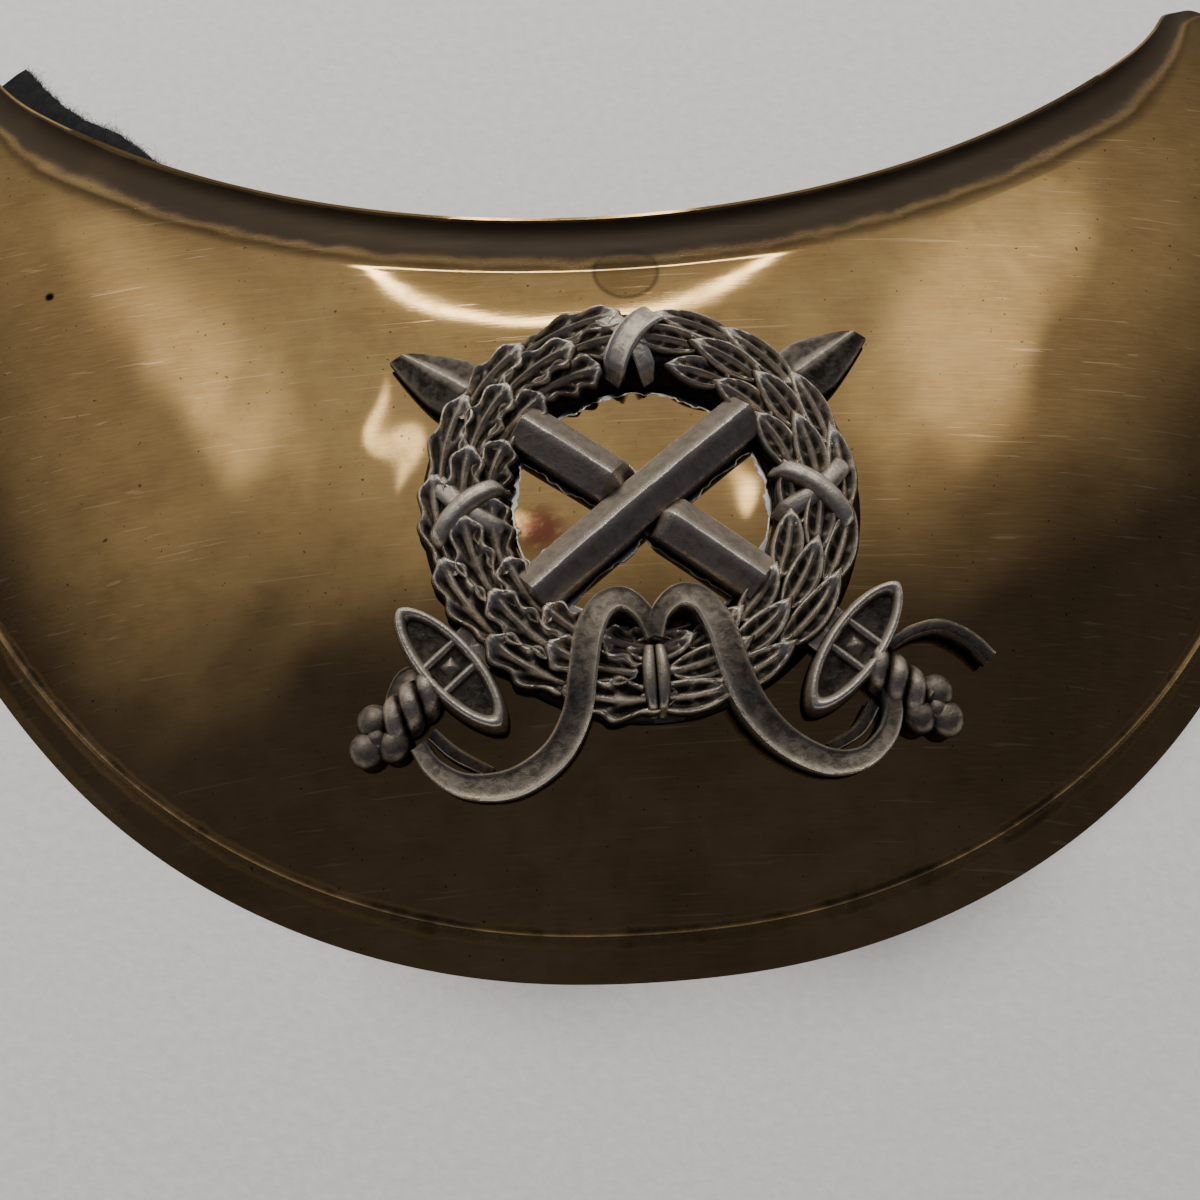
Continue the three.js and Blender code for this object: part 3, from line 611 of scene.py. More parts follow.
def leaf_body(side, angle, row, length, half_width, lobes, lift):
    """One leaf on the ring. Along it s goes from 0 to 1 round the ring, across it t from -1 to 1,
    closer together at the margins. The edge is the half width times a sine hump, pinched between
    lobes; the height is the ring's plus a bead along the margin, a midrib bell, side veins, a hollow
    between them and a lift that grows towards the tip."""
    s = np.linspace(0, 1, 34)[:, None]
    even = np.linspace(-1, 1, 21)[None, :]
    t = np.sign(even) * (1 - (1 - np.abs(even)) ** 1.5)
    if lobes:
        hump = np.sin(np.pi * np.clip(0.05 + 0.95 * s, 0, 1)) ** 0.5
        edge = half_width * hump * (0.85 + 0.15 * np.cos(2 * np.pi * lobes * (s - 0.42)))
    else:
        edge = half_width * np.sin(np.pi * np.clip(0.06 + 0.94 * s ** 0.85, 0, 1)) ** 0.85
    edge = edge + 0.02
    from_edge = (1 - np.abs(t)) * edge
    spread = row * (2.05 + 0.09 * length * s)
    radial = spread + t * edge
    swept = (0.5 if lobes else 0.2) * edge * np.abs(t)
    turned = angle + (length * s + swept) / RING_RADIUS
    place = on_ring(RING_RADIUS + radial, turned)
    place[..., 0] *= side
    margin = np.exp(-((from_edge - 0.4) / 0.34) ** 2) * smooth_share(edge, 0.3, 0.9)
    midrib = np.exp(-(t * edge / 0.26) ** 2) * (1 - 0.7 * s ** 2)
    vein_phase = 2 * np.pi * (lobes or 5) * (s - 0.42) - 2.2 * np.abs(t) * edge
    inner = smooth_share(from_edge, 0.35, 0.7) * smooth_share(np.abs(t) * edge, 0.2, 0.5)
    veins = np.maximum(0, np.cos(vein_phase)) ** 3 * inner
    rolled = 0.45 * smooth_share(from_edge, 0.22, 0.0)
    form = 0.42 * margin + 0.4 * midrib + (0.22 if lobes else 0.1) * veins - rolled - 0.3 * inner
    height = ring_rise(0.85 * (spread + 0.6 * t * edge)) + lift * (0.1 + 0.9 * s ** 1.3) + form - 0.35
    # Painted shading with wear: margin, midrib and veins light as worn ridges with painted highlights,
    # lighter towards the lifted tip, the hollow between veins and the rolled edge dark as patina and painted
    # shade.
    worn_and_shaded = 0.36 + 0.4 * margin + 0.3 * midrib + 0.25 * veins + 0.15 * s - 0.3 * inner - rolled
    top = np.concatenate([place, height[..., None]], -1)
    return top, np.clip(worn_and_shaded, 0, 1)


def add_leaves(casting, rng, side, length, half_width, lobes):
    """Three rows round half the ring; outer and inner rows first, the middle row on top."""
    count = 7 if lobes else 8
    first, last = math.radians(-98), math.radians(66)
    for row in (-1, 1, 0):
        for i in range(count):
            stagger = (0.5 if row == 0 else 0.0) + 0.12 * row
            angle = first + (last - first) * (i + stagger) / (count - 0.4) + rng.uniform(-0.02, 0.02)
            scale = length * rng.uniform(0.94, 1.05)
            lift = 1.0 if row == 0 else 0.75
            top, wear_and_shading = leaf_body(side, angle, row, scale, half_width, lobes, lift)
            casting.add_slab(top, 0.5, wear_and_shading)


# Bands crossed in pairs over the wreath: place round it and lean in degrees, lift, width, raised rim.
RING_BANDS = (
    (90, 33, 0.45, 1.9, 0.12),
    (90, -37, 1.05, 2.5, 0.22),
    (180, -43, 0.45, 1.9, 0.0),
    (180, 39, 1.25, 2.1, 0.0),
    (0, 38, 0.6, 1.9, 0.0),
    (0, -43, 1.25, 2.1, 0.0),
)


def band_over_ring(casting, at, lean, lift, width, rim):
    """A band across the ring: along it the height follows the ring's arch, across it the sides are
    rounded off and, where rim is set, raised."""
    s = np.linspace(-1, 1, 30)[:, None]
    t = np.linspace(-1, 1, 11)[None, :]
    angle = math.radians(at)
    turn = math.radians(lean)
    middle = on_ring(RING_RADIUS, angle)
    reach = (0.5 * RING_WIDTH - 0.4 * width * math.sin(abs(turn))) / math.cos(turn)
    heading = angle + turn
    along = s * reach + 0 * t
    aside = t * width / 2 * (1 - 0.35 * smooth_share(np.abs(s), 0.8, 1.0))
    curl = 0.9 * math.copysign(1, lean) * (s ** 2) + 0 * t
    x = middle[0] + along * math.cos(heading) - (aside + curl) * math.sin(heading)
    y = middle[1] + along * math.sin(heading) + (aside + curl) * math.cos(heading)
    arch = ring_rise(0.92 * s * RING_WIDTH / 2)
    rounding = (1 - np.abs(t) ** 3) if rim == 0 else 1 - np.abs(t) ** 8 * 0.5
    raised = rim * smooth_share(np.abs(t), 0.55, 0.8)
    height = arch + 0.15 + lift * (0.35 + 0.65 * rounding) + raised
    height = height * (1 - 0.5 * smooth_share(np.abs(s), 0.8, 1.0))
    top = np.stack([x, y, height], -1)
    # Painted shading with wear: lighter along the band's crown and on its raised rims.
    wear_and_shading = np.clip(0.38 + 0.4 * rounding + raised + 0 * s, 0, 1)
    casting.add_slab(top, 0.6, wear_and_shading)


def path_points(rows, count):
    """A smooth path through rows of across, up and lift: a Catmull-Rom curve, as whole arrays."""
    knots = np.array(rows, dtype=float)
    padded = np.vstack([2 * knots[0] - knots[1], knots, 2 * knots[-1] - knots[-2]])
    place = np.linspace(0, len(knots) - 1, count)
    index = np.minimum(place.astype(int), len(knots) - 2)
    f = (place - index)[:, None]
    a, b, c, d = (padded[index + k] for k in range(4))
    square = (2 * a - 5 * b + 4 * c - d) * f ** 2
    cube = (3 * b - a - 3 * c + d) * f ** 3
    return 0.5 * (2 * b + (c - a) * f + square + cube)


def ribbon_body(casting, rows):
    """A flat band along a path through rows of across, up, lift, width and tilt: across it t goes
    from -1 to 1, tilt raises one side over the other, and both margins have a fine raised rim."""
    path = path_points(rows, 90)
    heading = np.gradient(path[:, :2], axis=0)
    heading = heading / np.linalg.norm(heading, axis=1, keepdims=True)
    t = np.linspace(-1, 1, 13)[None, :]
    half = path[:, 3:4] / 2
    x = path[:, 0:1] - heading[:, 1:2] * t * half
    y = path[:, 1:2] + heading[:, 0:1] * t * half
    rim = 0.14 * smooth_share(np.abs(t), 0.62, 0.8)
    corner = 0.3 * smooth_share(np.abs(t), 0.86, 1.0)
    height = path[:, 2:3] + path[:, 4:5] * t + rim - corner
    # Painted shading with wear: lighter on the raised rims, on the side that tilt raises and at the rounded
    # edges.
    wear_and_shading = np.clip(0.34 + 2.4 * rim + 0.3 * path[:, 4:5] * t + 0.1 * corner, 0, 1) + 0 * height
    casting.add_slab(np.stack([x, y, height], -1), 0.35, wear_and_shading)


# Ribbon paths in millimetres from the badge's middle: across, up, lift, width, tilt.
LEFT_BOW = (
    (0.2, -13.4, 2.9, 1.7, 0.1),
    (-0.7, -11.3, 3.3, 1.9, 0.2),
    (-2.5, -9.9, 3.6, 2.2, 0.3),
    (-4.4, -10.6, 3.9, 2.5, 0.3),
    (-5.8, -13.0, 4.3, 2.7, 0.3),
    (-6.6, -16.6, 4.2, 2.7, 0.3),
    (-7.4, -20.0, 3.4, 2.7, 0.3),
    (-9.6, -23.2, 2.7, 2.7, 0.3),
    (-13.4, -25.2, 2.5, 2.6, 0.3),
    (-17.6, -25.1, 2.4, 2.2, 0.3),
    (-20.4, -23.4, 2.2, 1.8, 0.3),
    (-21.9, -21.2, 2.0, 1.6, 0.2),
)
LEFT_INNER = (
    (-15.4, -24.1, 1.3, 1.0, -0.2),
    (-18.6, -22.2, 1.6, 1.2, -0.3),
    (-20.6, -20.3, 1.7, 1.2, -0.3),
)
LEFT_END = (
    (-19.6, -15.8, 1.6, 1.4, 0.1),
    (-21.2, -14.9, 1.9, 1.6, 0.2),
    (-22.8, -15.1, 2.0, 1.6, 0.2),
    (-23.9, -16.6, 1.8, 1.4, 0.2),
    (-24.6, -18.4, 1.3, 1.0, 0.1),
)
RIGHT_BOW = (
    (0.2, -13.4, 2.9, 1.7, -0.1),
    (0.9, -11.3, 3.3, 1.9, -0.2),
    (2.7, -9.9, 3.6, 2.2, -0.3),
    (4.8, -10.6, 3.9, 2.5, -0.3),
    (6.3, -13.4, 4.3, 2.8, -0.3),
    (7.3, -17.0, 4.2, 2.9, -0.3),
    (8.8, -20.2, 3.5, 2.9, -0.3),
    (11.5, -23.0, 2.8, 2.7, -0.3),
    (15.0, -24.7, 2.5, 2.4, -0.3),
    (18.2, -24.6, 2.4, 2.0, -0.3),
    (20.6, -22.8, 2.3, 1.8, -0.3),
    (21.6, -20.6, 2.2, 1.7, -0.2),
    (21.5, -18.4, 2.0, 1.6, -0.2),
)
RIGHT_INNER = (
    (15.6, -23.6, 1.3, 1.0, 0.2),
    (18.4, -22.0, 1.6, 1.2, 0.3),
    (20.0, -19.8, 1.7, 1.2, 0.3),
)
RIGHT_END = (
    (21.8, -14.6, 1.9, 1.0, 0.3),
    (24.0, -13.4, 2.3, 1.0, 0.4),
    (26.6, -12.9, 2.6, 1.0, 0.4),
    (29.2, -13.9, 2.5, 1.1, 0.4),
    (31.2, -15.6, 2.0, 1.3, 0.4),
)


def sword_frame(side):
    """Unit steps along the sword towards its tip and to its left."""
    along = np.array([side * math.cos(SWORD_ANGLE), math.sin(SWORD_ANGLE)])
    return along, np.array([-along[1], along[0]])


def placed(side, along, aside, height):
    """Points by distance along a sword, distance to its left, and height."""
    step, left = sword_frame(side)
    flat = along[..., None] * step + aside[..., None] * left
    return np.concatenate([flat, height[..., None]], -1)


def add_blade(casting, side, drop):
    """A blade of two flat facets that meet in a ridge. Outside the wreath it widens to a clipped
    point; it is low under the wreath, and the blade that passes below the other is low at the crossing."""
    s = np.concatenate([np.linspace(-21.5, 17.5, 70), np.linspace(17.6, BLADE_REACH, 40)])[:, None]
    half_t = np.array([0.06, 0.3, 0.6, 0.85, 0.95, 0.985, 1])
    t = np.concatenate([-half_t[::-1], [0], half_t])[None, :]
    spade = smooth_share(s, 16.5, 21.0)
    point = np.clip((s - 22.0) / (BLADE_REACH - 22.0), 0, 1)
    half = BLADE_WIDTH / 2 * (1 + 0.3 * spade) * (1 - 0.62 * point ** 1.3)
    ridge = BLADE_RISE * (1 - 0.3 * spade) * (1 - 0.3 * point)
    shoulder = 0.56 * ridge
    height = ridge + (shoulder - ridge) * np.abs(t)
    height = height - 0.16 * smooth_share(np.abs(t), 0.93, 1.0) - 0.05 * np.exp(-(t / 0.05) ** 2)
    cut = np.clip((3.0 - np.abs(s)) / 0.5, 0, 1) * drop
    height = np.maximum(height - cut, 0.5)
    height = height + 0.02 * np.sin(1.3 * s + side) * np.sin(2.1 * t + 0.4 * s) * (1 - np.abs(t))
    hidden = smooth_share(np.abs(s), 13.7, 14.3) * (1 - smooth_share(s, 18.6, 20.2))
    height = height + hidden * (1.1 - height)
    slant = -side * 0.8 * point * t
    top = placed(side, s + slant, t * half, height)
    # Painted shading with wear: a light ridge line and light edges as painted highlights on worn metal,
    # darker where the blade is cut down under the other as painted shade, and darker on the spade.
    ridge_wear_and_highlight = 0.5 * np.exp(-(t / 0.08) ** 2)
    edge_wear_and_highlight = 0.25 * smooth_share(np.abs(t), 0.8, 0.95)
    wear_and_shading = 0.48 + ridge_wear_and_highlight + edge_wear_and_highlight - 0.3 * cut / 1.5 - 0.25 * spade
    casting.add_slab(top, 0.25, np.clip(wear_and_shading, 0, 1) + 0 * s)


def add_guard(casting, side):
    """A pointed oval across the sword, from rings that follow its outline: a round bead along the
    edge over a sunk field, then two bars across it with a small pyramid between them."""
    turn = np.linspace(0, 2 * np.pi, 112, endpoint=False)[None, :]
    across = np.cos(turn)
    outwards = np.sign(np.sin(turn)) * np.abs(np.sin(turn)) ** 1.2
    bead = np.linspace(1, 0, 13)[:, None]
    field = np.linspace(0.02, 1, 8, endpoint=False)[:, None]
    share = np.concatenate([field, np.ones_like(bead), [[1.0]], [[0.02]]])
    inset = np.concatenate([np.ones_like(field), bead, [[0.0]], [[1.0]]])
    aside = share * (GUARD_LENGTH / 2 - 1.9 * inset) * across
    along = share * (GUARD_WIDTH / 2 - 1.2 * inset) * outwards - GUARD_AT
    swell = np.sin(np.pi * np.clip(bead, 0, 0.999)) ** 0.7
    height = np.concatenate([2.1 + 0 * field, 2.1 + 1.05 * swell - 1.0 * smooth_share(bead, 0.3, 0.0),
                             [[0.45]], [[0.45]]]) + 0 * turn
    # Painted shading with wear: the sunk field and closing rings dark, lighter towards the crown of the
    # bead.
    wear_and_shading = np.concatenate([0.24 + 0 * field, 0.25 + 0.6 * swell, [[0.0]], [[0.0]]]) + 0 * turn
    casting.add(closed_loops(placed(side, along, aside, height)), wear_and_shading.reshape(-1))
    # Bars and pyramid: painted shading with wear, lighter towards their crowns and peak.
    s = np.linspace(-1, 1, 12)[:, None]
    t = np.linspace(-1, 1, 9)[None, :]
    arch = np.sqrt(np.maximum(0.0, 1 - t ** 2))
    for place in (-1.45, 1.45):
        along = -GUARD_AT + 2.3 * s + 0 * t
        aside = place + 0.45 * t + 0 * s
        bar = placed(side, along, aside, 2.0 + 0.75 * arch + 0 * s)
        casting.add_slab(bar, 1.5, 0.3 + 0.45 * arch + 0 * s)
    s = np.linspace(-1, 1, 9)[:, None]
    peak = 1 - np.maximum(np.abs(s), np.abs(t))
    pyramid = placed(side, -GUARD_AT + 0.85 * s + 0 * t, 0.85 * t + 0 * s, 2.05 + 0.75 * peak)
    casting.add_slab(pyramid, 1.5, 0.3 + 0.45 * peak)


def add_grip(casting, side):
    """A half round of twisted strands: the radius swells by a rectified wave that winds along it,
    and its middle is thicker than its ends."""
    s = np.linspace(0, 1, 60)[:, None]
    turn = np.linspace(0, np.pi, 25)[None, :]
    start = GUARD_AT + 1.6
    swell = 1.85 + 0.3 * np.sin(np.pi * s)
    strand = np.abs(np.cos(2.1 * np.pi * s * 1.45 - side * 1.1 * turn))
    radius = swell * (0.78 + 0.26 * strand ** 0.5)
    along = -(start + (GRIP_LENGTH + 0.6) * s) + 0 * turn
    top = placed(side, along, radius * np.cos(turn), 0.55 + 1.35 * radius * np.sin(turn))
    # Painted shading with wear: the strands light, the grooves between them dark.
    casting.add_slab(top, 0.3, np.clip(0.1 + 0.6 * strand ** 1.2, 0, 1) + 0 * radius)


# A pommel's lobes: along and aside from its middle, height, radius.
POMMEL_LOBES = (
    (0.75, 1.35, 1.5, 1.6),
    (0.75, -1.35, 1.5, 1.6),
    (-1.3, 0.0, 1.5, 1.65),
    (0.0, 0.0, 1.95, 1.0),
)


def add_pommel(casting, side):
    """Three round lobes with a small knob between them."""
    for along, aside, height, radius in POMMEL_LOBES:
        place = placed(side, np.array(along - POMMEL_AT), np.array(aside), np.array(height))
        points, faces = ball(place, radius, 0.85)
        # Painted shading with wear: lighter with height, the tops light and the lower sides dark.
        wear_and_shading = np.clip(0.1 + (points[:, 2] - 1.2) / 5, 0, 1)
        casting.add((points, faces), wear_and_shading)


def add_knot(casting):
    """Two rods side by side over the foot of the ring, bound in one loop."""
    s = np.linspace(-1, 1, 40)[:, None]
    t = np.linspace(-1, 1, 17)[None, :]
    middle_y = -RING_RADIUS - 0.35
    y = middle_y + s * 3.4 + 0 * t
    x = 0.1 + t * 1.3 * (1 - 0.4 * s ** 2) + 0 * s
    arch = ring_rise(0.9 * s * RING_WIDTH / 2)
    rods = np.sqrt(np.maximum(0, 1 - (2 * np.abs(t) - 1) ** 2))
    height = arch + 0.5 + 0.8 * rods * (1 - 0.4 * s ** 4)
    height = height * (1 - 0.55 * smooth_share(np.abs(s), 0.8, 1.0))
    # Painted shading with wear: lighter along the rods' crowns, dark between them.
    casting.add_slab(np.stack([x, y, height], -1), 0.55, np.clip(0.12 + 0.6 * rods + 0 * s, 0, 1))


def make_badge(rng):
    casting = Casting()
    add_ring(casting)
    add_leaves(casting, rng, -1, 9.2, 2.15, 3)
    add_leaves(casting, rng, 1, 8.4, 1.6, 0)
    for row in RING_BANDS:
        band_over_ring(casting, *row)
    for side, drop in ((-1, 1.5), (1, 0.0)):
        add_blade(casting, side, drop)
        add_guard(casting, side)
        add_grip(casting, side)
        add_pommel(casting, side)
    for rows in (LEFT_INNER, RIGHT_INNER, LEFT_END, RIGHT_END, LEFT_BOW, RIGHT_BOW):
        ribbon_body(casting, rows)
    add_knot(casting)
    return casting.made("badge_casting")


# Materials

class Nodes:
    """Short calls for building a node tree."""

    def __init__(self, tree):
        self.tree = tree
        self.tree.nodes.clear()

    def add(self, kind, values=None, **settings):
        node = self.tree.nodes.new(kind)
        for key, value in settings.items():
            setattr(node, key, value)
        for key, value in (values or {}).items():
            self.feed(node.inputs[key], value)
        return node

    def feed(self, socket, value):
        if isinstance(value, bpy.types.NodeSocket):
            self.tree.links.new(value, socket)
        else:
            socket.default_value = value

    def math(self, operation, a, b=0.0):
        node = self.add("ShaderNodeMath", operation=operation)
        self.feed(node.inputs[0], a)
        self.feed(node.inputs[1], b)
        return node.outputs[0]

    def plus(self, a, b):
        return self.math("ADD", a, b)

    def minus(self, a, b):
        return self.math("SUBTRACT", a, b)

    def times(self, a, b):
        return self.math("MULTIPLY", a, b)

    def length(self, x, y):
        return self.math("SQRT", self.plus(self.times(x, x), self.times(y, y)))

    def weighted(self, base, *pairs):
        """The base value plus each mask times its weight."""
        total = base
        for mask, weight in pairs:
            total = self.plus(total, self.times(mask, weight))
        return total

    def bump(self, surface, strength, distance, height):
        node = self.add("ShaderNodeBump", {"Strength": strength, "Distance": distance, "Height": height})
        self.feed(surface.inputs["Normal"], node.outputs[0])

    def mix(self, factor, a, b):
        node = self.add("ShaderNodeMix", data_type="RGBA")
        self.feed(node.inputs[0], factor)
        self.feed(node.inputs[6], a)
        self.feed(node.inputs[7], b)
        return node.outputs[2]

    def span(self, value, low, high, to_low=0.0, to_high=1.0):
        node = self.add("ShaderNodeMapRange", interpolation_type="SMOOTHSTEP")
        for key, item in (("Value", value), ("From Min", low), ("From Max", high),
                          ("To Min", to_low), ("To Max", to_high)):
            self.feed(node.inputs[key], item)
        return node.outputs["Result"]

    def noise(self, vector, scale, detail=4.0, roughness=0.55, distortion=0.0):
        node = self.add("ShaderNodeTexNoise", {
            "Vector": vector, "Scale": scale, "Detail": detail,
            "Roughness": roughness, "Distortion": distortion,
        })
        return node.outputs["Fac"]

    def stretched(self, vector, turn, stretch):
        node = self.add("ShaderNodeMapping", {
            "Vector": vector, "Rotation": (0, 0, turn), "Scale": stretch,
        })
        return node.outputs[0]


def node_group(name, inputs, outputs):
    group = bpy.data.node_groups.new(name, "ShaderNodeTree")
    for label, kind, value in inputs:
        socket = group.interface.new_socket(label, in_out="INPUT", socket_type=kind)
        if value is not None:
            socket.default_value = value
    for label, kind in outputs:
        group.interface.new_socket(label, in_out="OUTPUT", socket_type=kind)
    nodes = Nodes(group)
    start = nodes.add("NodeGroupInput")
    end = nodes.add("NodeGroupOutput")
    return group, nodes, start, end


def plan_offset(nodes, position, across, up):
    """How far a point lies across and up from a place in plan, given in millimetres."""
    parts = nodes.add("ShaderNodeSeparateXYZ", {"Vector": position})
    return nodes.minus(parts.outputs[0], across * MM), nodes.minus(parts.outputs[1], up * MM)


FLOAT = "NodeSocketFloat"
VECTOR = "NodeSocketVector"


def scratches_group():
    """Fine brushed lines in three directions and a few long single scratches, each as a mask."""
    group, nodes, start, end = node_group(
        "fine_scratches",
        [("Position", VECTOR, None), ("Density", FLOAT, 0.5)],
        [("Lines", FLOAT), ("Single", FLOAT)],
    )
    position = start.outputs["Position"]
    total = None
    for turn, scale in ((0.12, 5200.0), (-0.35, 4600.0), (1.45, 4800.0)):
        vector = nodes.stretched(position, turn, (0.035, 1.0, 0.3))
        line = nodes.noise(vector, scale, 3.0, 0.7)
        total = line if total is None else nodes.plus(total, line)
    lines = nodes.span(total, 1.2, 1.9)
    nodes.feed(end.inputs["Lines"], lines)
    warped = nodes.stretched(position, -0.9, (0.03, 1.0, 0.2))
    single = nodes.noise(warped, 2600.0, 2.0, 0.5, 0.4)
    other = nodes.stretched(position, 0.35, (0.02, 1.0, 0.2))
    second = nodes.noise(other, 2200.0, 2.0, 0.5, 0.6)
    high = nodes.math("MAXIMUM", single, second)
    limit = nodes.minus(0.8, nodes.times(start.outputs["Density"], 0.12))
    top = nodes.plus(limit, 0.04)
    mask = nodes.span(high, limit, top)
    nodes.feed(end.inputs["Single"], mask)
    return group


def tarnish_group():
    """Clouds of tarnish at two scales with small specks."""
    group, nodes, start, end = node_group(
        "tarnish_clouds",
        [("Position", VECTOR, None), ("Cloud Scale", FLOAT, 30.0), ("Speck Scale", FLOAT, 900.0)],
        [("Clouds", FLOAT), ("Specks", FLOAT), ("Mottle", FLOAT)],
    )
    position = start.outputs["Position"]
    clouds = nodes.noise(position, start.outputs["Cloud Scale"], 6.0, 0.6, 0.6)
    nodes.feed(end.inputs["Clouds"], nodes.span(clouds, 0.36, 0.68))
    specks = nodes.noise(position, start.outputs["Speck Scale"], 2.0, 0.4)
    nodes.feed(end.inputs["Specks"], nodes.span(specks, 0.72, 0.78))
    middle = nodes.times(start.outputs["Cloud Scale"], 6.0)
    mottle = nodes.noise(position, middle, 5.0, 0.65, 0.3)
    nodes.feed(end.inputs["Mottle"], nodes.span(mottle, 0.35, 0.7))
    return group


def solder_group():
    """A thin uneven fringe of solder on the plate: a band beside each blade and inside the wreath's
    inner edge, by distance from their edges, kept within the wreath's opening."""
    group, nodes, start, end = node_group("solder_fringe", [("Position", VECTOR, None)], [("Mask", FLOAT)])
    position = start.outputs["Position"]
    uneven = nodes.noise(position, 420.0, 2.0, 0.5)
    width = nodes.span(uneven, 0.35, 0.7, 0.12 * MM, 0.75 * MM)
    x, y = plan_offset(nodes, position, BADGE_ACROSS, BADGE_UP + OUTLINE_FOOT)
    radius = nodes.length(x, y)
    inner_edge = (RING_RADIUS - RING_WIDTH / 2 - 0.3) * MM
    near = nodes.math("ABSOLUTE", nodes.minus(radius, inner_edge))
    for side in (-1, 1):
        left = sword_frame(side)[1]
        aside = nodes.weighted(0.0, (x, float(left[0])), (y, float(left[1])))
        beside = nodes.minus(nodes.math("ABSOLUTE", aside), BLADE_WIDTH / 2 * MM)
        near = nodes.math("MINIMUM", near, nodes.math("ABSOLUTE", beside))
    inside = nodes.span(radius, inner_edge, inner_edge + 0.5 * MM, 1.0, 0.0)
    edge = nodes.minus(near, width)
    mask = nodes.span(edge, -0.12 * MM, 0.05 * MM, 1.0, 0.0)
    nodes.feed(end.inputs["Mask"], nodes.times(mask, inside))
    return group


SCRATCHES = scratches_group()
TARNISH = tarnish_group()
SOLDER = solder_group()


def new_material(name):
    material = bpy.data.materials.new(name)
    material.use_nodes = True
    nodes = Nodes(material.node_tree)
    surface = nodes.add("ShaderNodeBsdfPrincipled")
    output = nodes.add("ShaderNodeOutputMaterial")
    material.node_tree.links.new(surface.outputs[0], output.inputs[0])
    return material, nodes, surface


def object_position(nodes):
    return nodes.add("ShaderNodeTexCoord").outputs["Object"]


def group_node(nodes, group, values):
    return nodes.add("ShaderNodeGroup", values, node_tree=group)


def disc_mask(nodes, position, across, up, radius, soft):
    """1 within a radius of a place in plan, falling to 0 over soft; lengths in millimetres."""
    distance = nodes.length(*plan_offset(nodes, position, across, up))
    return nodes.span(distance, (radius - soft) * MM, (radius + soft) * MM, 1.0, 0.0)


# Marks on the plate, each at its place across and up.
DARK_SPOT = (-55.2, 19.9)
ROUND_MARK = (2.1, 15.5)
FLUX_STAIN = (-8.0, -12.2)


def brass_material():
    """Aged brass: golden where rubbed, brown clouds, old polish with painted shade in the hollows, fine
    scratches, dark specks, a spot, a round mark, a red flux stain and the solder round the badge."""
    material, nodes, surface = new_material("aged_brass")
    position = object_position(nodes)
    tarnish = group_node(nodes, TARNISH, {"Position": position, "Cloud Scale": 38.0, "Speck Scale": 1900.0})
    scratches = group_node(nodes, SCRATCHES, {"Position": position, "Density": 0.95})
    grime_and_shade = nodes.add("ShaderNodeAttribute", attribute_name="grime_and_shade").outputs["Fac"]
    solder = group_node(nodes, SOLDER, {"Position": position}).outputs["Mask"]
    clouds, specks, mottle = tarnish.outputs
    lines, single = scratches.outputs
    golden = (0.62, 0.40, 0.15, 1)
    brown = (0.38, 0.225, 0.085, 1)
    bright = (0.80, 0.57, 0.27, 1)
    # Near black: the specks, the spot and the round mark, and also the painted shade with old polish in the
    # hollows.
    stain = (0.016, 0.0105, 0.007, 1)
    flux_red = (0.28, 0.09, 0.055, 1)
    solder_grey = (0.78, 0.75, 0.68, 1)
    spot = disc_mask(nodes, position, *DARK_SPOT, 0.45, 0.2)
    inner_mark = disc_mask(nodes, position, *ROUND_MARK, 2.95, 0.25)
    round_mark = nodes.weighted(disc_mask(nodes, position, *ROUND_MARK, 3.3, 0.25), (inner_mark, -0.5))
    patchy = nodes.span(mottle, 0.05, 0.45)
    flux = nodes.times(disc_mask(nodes, position, *FLUX_STAIN, 2.2, 1.3), patchy)
    # Old polish with painted shade in the flute and beside the rim line, plus mottle: mixed almost to near
    # black, less metallic and rougher.
    dirt_and_shade = nodes.span(nodes.weighted(grime_and_shade, (mottle, 0.25)), 0.15, 0.95)
    colour = golden
    for mask, strength, tone in (
        (clouds, 0.8, brown),
        (mottle, 0.45, brown),
        (lines, 0.22, bright),
        (single, 0.7, bright),
        (specks, 0.7, stain),
        (spot, 1.0, stain),
        (round_mark, 0.6, stain),
        (flux, 0.9, flux_red),
        (solder, 1.0, solder_grey),
        (dirt_and_shade, 0.94, stain),
    ):
        colour = nodes.mix(nodes.times(mask, strength), colour, tone)
    nodes.feed(surface.inputs["Base Color"], colour)
    nodes.feed(surface.inputs["Metallic"], nodes.span(dirt_and_shade, 0.0, 1.0, 1.0, 0.5))
    rough = nodes.weighted(0.03, (clouds, 0.025), (mottle, 0.015), (dirt_and_shade, 0.3), (solder, 0.12))
    nodes.feed(surface.inputs["Roughness"], rough)
    height = nodes.weighted(0.0, (lines, -0.5), (single, -1.0), (mottle, 0.8), (solder, 60.0))
    nodes.bump(surface, 0.5, 0.0000006, height)
    return material


